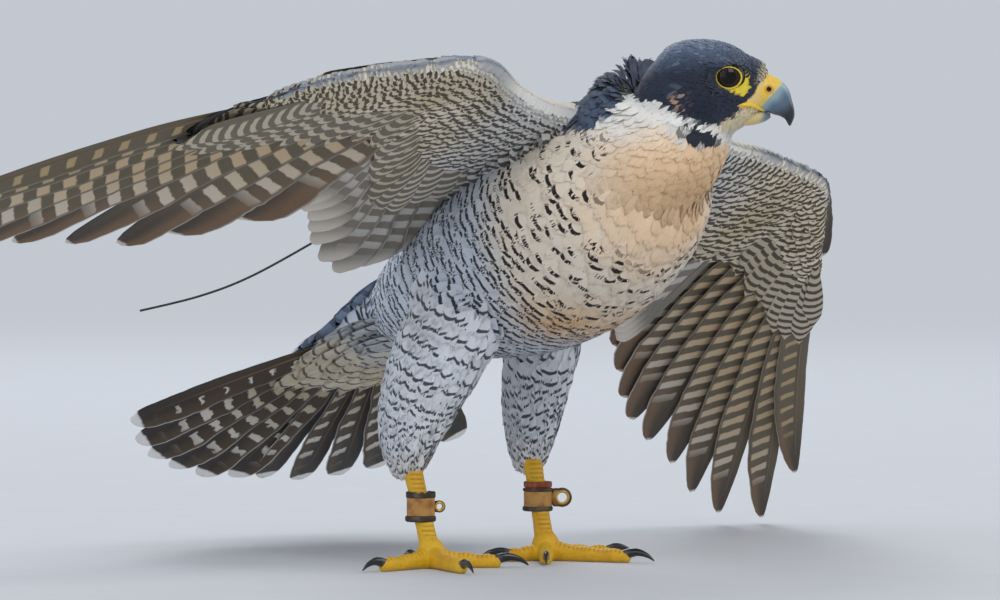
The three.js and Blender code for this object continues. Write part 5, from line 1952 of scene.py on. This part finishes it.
def make_gape():
    """The fleshy yellow rim of the mouth, on both sides."""
    around = surface_tree(skin, *upper_bill)
    parts = []
    for side in (1, -1):
        path = []
        for forward, up in GAPE_LINE:
            start = head_point(forward, side * 40, up)
            hit = around.ray_cast(Vector(start), Vector(-side * HEAD_LEFT))
            path.append(np.array(hit[0]) + side * HEAD_LEFT * 0.15)
        parts.append(pipe(path, [0.5, 0.95, 1.05, 0.9, 0.45]))
    obj = new_object("gape_rim", *merge(parts))
    outward(obj)
    points = mesh_points(obj)
    forward, _, _ = head_local(points)
    paint(obj, "tone", blend(tint(206, 160, 96), tint(242, 200, 40), ramp(forward, 19, 24)))
    return finished(obj, FACE["cere"], "yellow_skin")


def make_eye(side):
    """A dark wet eye, a little flattened in front, with a pupil and a brown iris."""
    rings, sides = 72, 96
    turn = np.linspace(0, math.pi, rings)[1:-1]
    forwards, outwards = EYEBALL_RADIUS * np.sin(turn), EYEBALL_RADIUS * np.cos(turn)
    outwards = np.where(outwards > 0, outwards * EYE_FLATNESS, outwards)
    angles = np.linspace(0, 2 * math.pi, sides, endpoint=False)
    c, s = np.cos(angles), np.sin(angles)
    rows = np.array([
        head_point(EYE_FORWARD + r * c, side * (EYE_SIDE + o), EYE_UP + r * s).reshape(-1, 3)
        for r, o in zip(forwards, outwards)
    ])
    obj = new_object("eyeball_" + ("left" if side > 0 else "right"), *capped(rows))
    outward(obj)
    forward, left, up = head_local(mesh_points(obj))
    reach = eye_distance(forward, up)
    outer = np.abs(left) > EYE_SIDE
    tone = blend(tint(8, 7, 9), tint(44, 27, 18), ramp(reach, 3.3, 3.7))
    tone = blend(tone, tint(16, 11, 9), ramp(reach, 4.6, 5.8))
    paint(obj, "tone", np.where(outer[:, None], tone, tint(16, 11, 9)))
    return finished(obj, FACE["eye"], "eye", "eye_left" if side > 0 else "eye_right")


def make_lids():
    """Thin yellow lids round both eyes, the upper edge under the brow."""
    parts = []
    for side in (1, -1):
        count, sides = 96, 16
        angles = np.linspace(0, 2 * math.pi, count, endpoint=False)
        turn = np.linspace(0, 2 * math.pi, sides, endpoint=False)
        fold = 1 + 0.08 * np.sin(19 * angles) - 0.3 * np.clip(np.sin(angles - 0.3), 0, 1)
        reach = LID_MIDDLE + LID_TUBE * fold[:, None] * np.cos(turn)
        flatness = np.where(np.sin(angles) > 0, LID_ABOVE, LID_BELOW)
        spread = LID_MIDDLE * np.hypot(np.cos(angles), flatness * np.sin(angles))
        on_ball = EYE_SIDE + EYE_FLATNESS * np.sqrt(EYEBALL_RADIUS**2 - spread**2) + LID_PROUD
        side_way = on_ball[:, None] + 1.3 * LID_TUBE * fold[:, None] * np.sin(turn)
        rings = head_point(EYE_FORWARD + reach * np.cos(angles)[:, None], side * side_way,
                           EYE_UP + reach * (flatness * np.sin(angles))[:, None])
        parts.append((rings.reshape(-1, 3), loop_faces(count, sides)))
    obj = new_object("eyelids", *merge(parts))
    outward(obj)
    points = mesh_points(obj)
    forward, _, _ = head_local(points)
    yellow = blend(tint(228, 204, 44), tint(198, 188, 70), 0.5 + 0.5 * ripple(points, 1.8))
    paint(obj, "tone", blend(tint(146, 138, 62), yellow, ramp(forward, 8.5, 16)))
    return finished(obj, FACE["cere"], "yellow_skin")


FACE = {
    "cere": soft_skin_material(),
    "horn": horn_material(),
    "eye": eye_material(),
}
upper_bill = make_upper_bill()
make_lower_bill()
make_gape()
for eye_side in (1, -1):
    make_eye(eye_side)
make_lids()


# Legs, feet and claws

# Bearing and length of each toe: hind, inner or outer, middle, and the last
TOES = {
    "right": [[75, 22], [-38, 33], [-107, 44], [-168, 36]],
    "left": [[171, 22], [-128, 33], [-62, 44], [-10, 36]],
}
# Place along the toe, half width and half height
TOE_ROWS = [
    [0, 4.6, 6.5], [0.22, 3.9, 4.7], [0.38, 3.1, 4.0], [0.54, 3.8, 4.0],
    [0.7, 2.9, 3.4], [0.86, 3.5, 3.7], [1, 2.5, 3.1],
]
TOE_END = 0.06
# Place along the claw, height of its middle, half width and half depth
CLAW_ROWS = [
    [0, 3.8, 2.0, 2.6], [0.25, 5.1, 1.75, 2.3], [0.5, 5.3, 1.4, 1.8],
    [0.78, 3.9, 0.85, 1.15], [1, 1.4, 0.25, 0.35],
]
CLAW_REACH = 15
PAD_ROWS = [[0, 6.8, 6.8], [2, 7.8, 7.8], [7, 7.4, 7.2], [11, 6.2, 6.2], [14, 4.2, 4.2]]
SHANK_ROWS = [[0, 5.2, 5.4, 5.4], [0.2, 4.5, 4.7, 4.7], [0.6, 4.5, 4.7, 4.7], [1, 5.3, 5.5, 5.9]]
SHANK_START = 7
SCUTE = 2.3


def bearing_way(bearing):
    return np.array([cosine(bearing), sine(bearing), 0.0])


def toe_body(side, bearing, length):
    """One toe along the floor, with its pads, round at the end where the claw grows."""
    x, y = FOOT[side]
    places = np.concatenate([np.linspace(0, 1, 50), 1 + TOE_END * np.array([0.3, 0.55, 0.75, 0.9, 0.98])])
    stations, half_width, half_height = np.array(TOE_ROWS).T
    closing = np.sqrt(1 - (np.maximum(places - 1, 0) / TOE_END) ** 2)
    half_width = np.interp(places, stations, half_width) * closing
    half_height = np.interp(places, stations, half_height)
    centre = np.array([x, y, 0.0]) + places[:, None] * length * bearing_way(bearing)
    centre[:, 2] = half_height - 0.25
    half_height = half_height * closing
    turn = np.linspace(0, 2 * math.pi, 40, endpoint=False)
    c, s = np.cos(turn), np.sin(turn)
    across = np.cross(UP, bearing_way(bearing))
    rings = (centre[:, None] + (half_width[:, None] * np.sign(c) * np.abs(c) ** 0.91)[..., None] * across
             + (half_height[:, None] * np.sign(s) * np.abs(s) ** 0.91)[..., None] * UP)
    return capped(rings)


def shank_at(side, height):
    foot = np.array([*FOOT[side], SHANK_START], float)
    run = np.array(HOCK[side], float) - foot
    return foot + run * (height - SHANK_START) / run[2]


def make_leg(side):
    """Shank and foot as one scaled form that stands on the floor on small flats."""
    foot = np.array([*FOOT[side], SHANK_START], float)
    hock = np.array(HOCK[side], float)
    shank = [[*(foot + (hock - foot) * place), half, back, front] for place, half, front, back in SHANK_ROWS]
    pad = [[*FOOT[side], z, wide, deep, deep] for z, wide, deep in PAD_ROWS]
    parts = [capped(tube(shank, [1, 0, 0], 50, 48)), capped(tube(pad, [1, 0, 0], 30, 48))]
    parts += [toe_body(side, bearing, length) for bearing, length in TOES[side]]
    obj = new_object("leg_" + side, *merge(parts))
    outward(obj)
    remeshed(obj, LEG_VOXEL, 6)
    points, normals = mesh_points(obj), mesh_normals(obj)
    best = np.full(len(points), 1e9)
    along_toe = np.zeros(len(points))
    for bearing, length in TOES[side]:
        offset = points[:, :2] - np.array(FOOT[side])
        way = bearing_way(bearing)[:2]
        s = np.clip(offset @ way, 0, length)
        gap = np.linalg.norm(offset - s[:, None] * way, axis=1)
        nearer = gap < best
        best = np.where(nearer, gap, best)
        along_toe = np.where(nearer, s, along_toe)
    high = ramp(points[:, 2], 11, 16)
    run = along_toe * (1 - high) + points[:, 2] * high
    top = ramp(normals[:, 2], 0.2, 0.7) * ramp(along_toe, 5, 9) * (1 - high)
    front = ramp(-normals[:, 1], 0.1, 0.6) * high
    plates = np.abs(np.sin(math.pi * run / SCUTE)) ** 0.5
    shown = np.maximum(top, front)
    depth = 0.34 * (plates - 0.75) * shown
    lumps = 0.12 * ripple(points, 1.1) * (1 - shown)
    # The plates stand out of the skin, which is lumpy between them
    points = points + normals * (depth + lumps)[:, None]
    points[:, 2] = np.maximum(points[:, 2], 0)
    set_points(obj, points)
    groove = (1 - plates) * shown
    tone = blend(tint(234, 190, 30), tint(222, 164, 24), 0.5 + 0.5 * ripple(points, 7))
    tone = blend(tone, tint(150, 98, 16), 0.9 * groove)
    tone = blend(tone, tint(206, 168, 70), 0.5 * (1 - ramp(points[:, 2], 0.3, 2.5)))
    paint(obj, "tone", tone)
    return finished(obj, scaled_skin, "yellow_skin", "tarsus_" + side, "foot_" + side)


def make_claws(side):
    for number, (bearing, length) in enumerate(TOES[side], 1):
        way = bearing_way(bearing)
        scale = 1.1 if number == 1 else 1.0
        rows = []
        for place, height, half, depth in CLAW_ROWS:
            out = length - 1.2 + place * (CLAW_REACH * scale + 1.5)
            rows.append([*(np.array([*FOOT[side], height]) + way * out), half, depth, depth])
        across = np.cross(UP, way)
        obj = new_object(f"talon_{side}_{number}", *capped(tube(rows, across, 60, 36)))
        outward(obj)
        points = mesh_points(obj)
        out = (points - np.array([*FOOT[side], 0])) @ way - length
        points[:, 2] = np.maximum(points[:, 2], 0.02)
        set_points(obj, points)
        tone = blend(tint(74, 72, 70), tint(20, 21, 25), ramp(out, 0, 3.5))
        paint(obj, "tone", tone)
        finished(obj, FACE["horn"], "claw_horn", f"claw_{side}_{number}")


# What the bird wears

TARSUS_CLEAR = 5.3
TOOTH_HEIGHT = 0.35
# Section of a lug: share of the way from its hole to its rim, and level in its thickness
TAB_SECTION = [(0, -1), (0.12, -1), (0.85, -1), (1, -0.5), (1, 0.5), (0.85, 1), (0.12, 1), (0, 1)]


def revolved(centre, profile, sides=96, wobble=0.0, teeth=0):
    """A closed ring round the shank from its section: radius and height of each point of it."""
    turn = np.linspace(0, 2 * math.pi, sides, endpoint=False)
    radius, height = np.array(profile, float).T
    ring = radius[None] + wobble * np.sin(3 * turn + 0.7)[:, None]
    lift = height[None] + 0 * ring
    if teeth:
        lift = lift + TOOTH_HEIGHT * np.sign(np.sin(teeth * turn))[:, None] * (height > np.mean(height))
    points = np.stack([ring * np.cos(turn)[:, None], ring * np.sin(turn)[:, None], lift], axis=-1) + centre
    return points.reshape(-1, 3), loop_faces(sides, len(profile))


def rounded_section(inner, outer, low, high, corner=0.5, count=6):
    """A rectangle with round corners, as radius and height."""
    section = []
    for cx, cz, start in ((outer - corner, high - corner, 0), (inner + corner, high - corner, 90),
                          (inner + corner, low + corner, 180), (outer - corner, low + corner, 270)):
        for step in range(count):
            angle = start + 90 * step / (count - 1)
            section.append([cx + corner * cosine(angle), cz + corner * sine(angle)])
    return section


def tab(centre, way, radius, hole, reach, thickness=1.8):
    """A flat lug with a round hole, which stands out from a band."""
    turn = np.linspace(0, 360, 72, endpoint=False)
    edge = []
    for angle in turn:
        along_band = radius * 0.95 / max(abs(sine(angle)), 1e-6)
        if -cosine(angle) <= 0:
            edge.append(radius)
        elif along_band < reach * 1.5:
            edge.append(min(reach, along_band))
        else:
            edge.append(reach)
    edge = np.maximum(np.array(edge), radius)
    out = np.array([[cosine(a), sine(a)] for a in turn])
    normal = np.cross(way, UP)
    rings = []
    for share, level in TAB_SECTION:
        reach_here = hole + share * (edge - hole)
        flat = out * reach_here[:, None]
        rings.append(centre + flat[:, :1] * way + flat[:, 1:] * UP + level * thickness / 2 * normal)
    rings = np.array(rings)
    return rings.reshape(-1, 3), loop_faces(*rings.shape[:2])


def eyelet(centre, way, ring_radius, tube_radius, thickness):
    """A brass ring on each face of a lug."""
    normal = np.cross(way, UP)
    parts = []
    for face in (-1, 1):
        angles = np.linspace(0, 2 * math.pi, 64, endpoint=False)
        turn = np.linspace(0, 2 * math.pi, 14, endpoint=False)
        reach = ring_radius + tube_radius * np.cos(turn)[None]
        level = face * thickness / 2 + tube_radius * 0.6 * np.sin(turn)[None]
        rings = (centre + (reach * np.cos(angles)[:, None])[..., None] * way
                 + (reach * np.sin(angles)[:, None])[..., None] * UP
                 + (level + 0 * reach)[..., None] * normal)
        parts.append((rings.reshape(-1, 3), loop_faces(64, 14)))
    return merge(parts)


def ring_object(name, parts, material, *nodes):
    obj = new_object(name, *merge(parts))
    outward(obj)
    return finished(obj, material, "band_leather", *nodes)


def make_anklets():
    tan = leather_material("tan_leather", (*tint(186, 140, 76), 1), (*tint(146, 92, 44), 1))
    dark = leather_material("dark_leather", (*tint(52, 44, 38), 1), (*tint(92, 82, 74), 1))
    red = leather_material("red_leather", (*tint(128, 58, 34), 1), (*tint(164, 92, 58), 1))
    brass = plain_material("brass", tint(206, 164, 78), 0.28, metallic=0.9)
    inner = TARSUS_CLEAR
    centre = shank_at("right", ANKLET_HEIGHT["right"])
    band = revolved(centre, rounded_section(inner, inner + 1.7, -4.6, 4.8))
    ring_object("anklet_band_right", [band], tan, "anklet_right")
    ring_object("anklet_rolls_right", [
        revolved(centre, rounded_section(inner, inner + 2.1, 4.4, 7.2, 0.6), teeth=11),
        revolved(centre, rounded_section(inner, inner + 2.4, -7.5, -4.4, 1.1), wobble=0.12),
    ], dark)
    way = bearing_way(-30)
    hole_middle = centre + way * (inner + 0.6 + 3.4)
    ring_object("anklet_lug_right", [tab(hole_middle, way, 3.0, 1.5, 3.4)], dark)
    ring_object("anklet_eyelet_right", [eyelet(hole_middle, way, 2.0, 0.55, 1.8)], brass)
    centre = shank_at("left", ANKLET_HEIGHT["left"])
    ring_object("anklet_collar_left", [
        revolved(centre, rounded_section(inner, inner + 1.9, 4.6, 7.5, 0.7)),
        revolved(centre, rounded_section(inner, inner + 1.2, 3.9, 4.9, 0.3)),
    ], red)
    band = revolved(centre, rounded_section(inner, inner + 1.8, -5.4, 3.0))
    ring_object("anklet_band_left", [band], tan, "anklet_left")
    ring_object("anklet_rolls_left", [
        revolved(centre, rounded_section(inner, inner + 2.35, 2.5, 4.2, 0.7)),
        revolved(centre, rounded_section(inner, inner + 2.4, -7.5, -4.9, 1.0), wobble=0.1),
    ], dark)
    way = bearing_way(-38)
    hole_middle = centre + way * (inner + 0.6 + 6.4) + UP * -0.6
    ring_object("anklet_lug_left", [tab(hole_middle, way, 4.9, 2.7, 6.4, 1.6)], dark)
    ring_object("anklet_lug_face_left", [tab(hole_middle, way, 3.9, 2.7, 5.6, 1.9)], tan)
    ring_object("anklet_eyelet_left", [eyelet(hole_middle, way, 3.0, 0.6, 2.0)], brass)


CASE_CENTRE = np.array([0.0, 0.0, 205.0])
CASE_SIZE = [13, 25, 10]
CASE_TILT = -21
# Sections of the case: place from one end to the other, and share of its full size there
CASE_ROWS = [
    (-1, 0.45), (-0.96, 0.72), (-0.86, 0.92), (-0.6, 1), (0, 1),
    (0.6, 1), (0.86, 0.92), (0.96, 0.7), (1, 0.4),
]
STRAP_THICKNESS = 0.35
WHIP = [
    [-1, 14, 206], [-20, 39, 196], [-43, 66, 178], [-63, 87, 161],
    [-86, 111, 143], [-105, 129, 133], [-127, 150, 125.5],
]
WHIP_RADIUS = 0.6


def make_transmitter():
    """A small rounded case on the back, held by a band, with a springy whip."""
    way = np.array([0, cosine(CASE_TILT), sine(CASE_TILT)])
    half, long, deep = (size / 2 for size in CASE_SIZE)
    rows = []
    for place, share in CASE_ROWS:
        rows.append([*(CASE_CENTRE + way * place * long), half * share, deep * share, deep * share])
    case = new_object("transmitter_case", *capped(tube(rows, [1, 0, 0], 64, 64, squareness=3.6)))
    outward(case)
    casing = plain_material("casing", tint(44, 45, 48), 0.45)
    finished(case, casing, "tag_casing", "transmitter")
    wide, high = half + STRAP_THICKNESS, deep + STRAP_THICKNESS
    strap_rows = [
        [*(CASE_CENTRE + way * place), wide, high, high] for place in (-2.2, -2, -0.7, 0.7, 2, 2.2)
    ]
    strap = new_object("transmitter_strap", *capped(tube(strap_rows, [1, 0, 0], 16, 64, squareness=3.6)))
    outward(strap)
    finished(strap, plain_material("strap", tint(92, 80, 66), 0.8), "tag_casing")
    whip = new_object("antenna_whip", *pipe(WHIP, [WHIP_RADIUS] * len(WHIP), 16))
    outward(whip)
    finished(whip, plain_material("whip", tint(52, 50, 54), 0.35, metallic=0.5), "tag_casing", "antenna")


scaled_skin = scaled_skin_material()
for leg_side in WINGS:
    make_leg(leg_side)
    make_claws(leg_side)
make_anklets()
make_transmitter()


# Floor, light and camera

# How far from the bird the floor starts to take the tone of the background, and where it has it
FLOOR_FADE = (0.9, 4.5)
STUDIO_TONE = (0.80, 0.85, 0.93, 1)
STUDIO_STRENGTH = 0.68
FLOOR_SIZE = 60.0
# Lights: name, place from the bird in metres, size, power and colour
LIGHTS = [
    ("key", (-1.1, -3.2, 3.2), 2.2, 62, (1.0, 0.97, 0.92)),
    ("fill", (-3.8, -1.2, 1.4), 3.0, 24, (0.93, 0.96, 1.0)),
    ("rim", (1.6, 3.2, 2.6), 2.0, 52, (0.95, 0.98, 1.0)),
    ("side", (3.8, -1.6, 1.8), 2.8, 22, (1.0, 0.98, 0.95)),
]


def floor_material():
    """Pale matt floor, which fades into the background far from the bird."""
    w = Wiring("floor")
    grain = w.noise(30.0, 4.0)
    colour = w.shaded(tint(208, 210, 214), grain, 0.06, 0.97)
    distance = w.nodes.new("ShaderNodeVectorMath")
    distance.operation = "LENGTH"
    w.links.new(w.place(), distance.inputs[0])
    far = w.smooth_step(distance.outputs["Value"], *FLOOR_FADE)
    w.colour(w.mix(far, colour, tint(0, 0, 0)))
    w.links.new(w.mul(far, STUDIO_STRENGTH), w.shader.inputs["Emission Strength"])
    w.shader.inputs["Emission Color"].default_value = STUDIO_TONE
    material = w.finish(0.9, 0.1)
    w.links.new(w.mul(w.rest(far), 0.1), w.shader.inputs["Specular IOR Level"])
    return material


def make_stage():
    mesh = bpy.data.meshes.new("floor")
    h = FLOOR_SIZE / 2
    mesh.from_pydata([(-h, -h, 0), (h, -h, 0), (h, h, 0), (-h, h, 0)], [], [(0, 1, 2, 3)])
    floor = bpy.data.objects.new("floor", mesh)
    bpy.context.scene.collection.objects.link(floor)
    floor.data.materials.append(floor_material())
    world = bpy.data.worlds.new("studio")
    world.use_nodes = True
    background = world.node_tree.nodes["Background"]
    background.inputs["Color"].default_value = STUDIO_TONE
    background.inputs["Strength"].default_value = STUDIO_STRENGTH
    bpy.context.scene.world = world
    middle = Vector(to_row([0, 0, 140]))
    for name, place, size, power, colour in LIGHTS:
        light = bpy.data.lights.new(name, "AREA")
        light.size = size
        light.energy = power
        light.color = colour
        obj = bpy.data.objects.new(name, light)
        obj.location = middle + Vector(place)
        obj.rotation_euler = (middle - obj.location).to_track_quat("-Z", "Y").to_euler()
        bpy.context.scene.collection.objects.link(obj)
    bpy.context.scene.view_settings.view_transform = "Standard"


# The photograph's viewpoint: bearing, height, distance, and the point at the middle of the frame
VIEW_BEARING = -38
VIEW_HEIGHT = 1.5
VIEW_DISTANCE = 3000
VIEW_TARGET = [-7.9, 6.2, 132]
FOCAL_LENGTH = 216


def make_camera():
    level = np.array([sine(VIEW_BEARING), -cosine(VIEW_BEARING), 0])
    back = level * cosine(VIEW_HEIGHT) + UP * sine(VIEW_HEIGHT)
    camera = bpy.data.cameras.new("camera")
    camera.sensor_width = 36
    camera.lens = FOCAL_LENGTH
    camera.clip_start = 0.05
    obj = bpy.data.objects.new("camera", camera)
    obj.location = Vector(to_row(np.array(VIEW_TARGET) + back * VIEW_DISTANCE))
    obj.rotation_euler = Vector(-back).to_track_quat("-Z", "Y").to_euler()
    bpy.context.scene.collection.objects.link(obj)
    bpy.context.scene.camera = obj


make_stage()
make_camera()
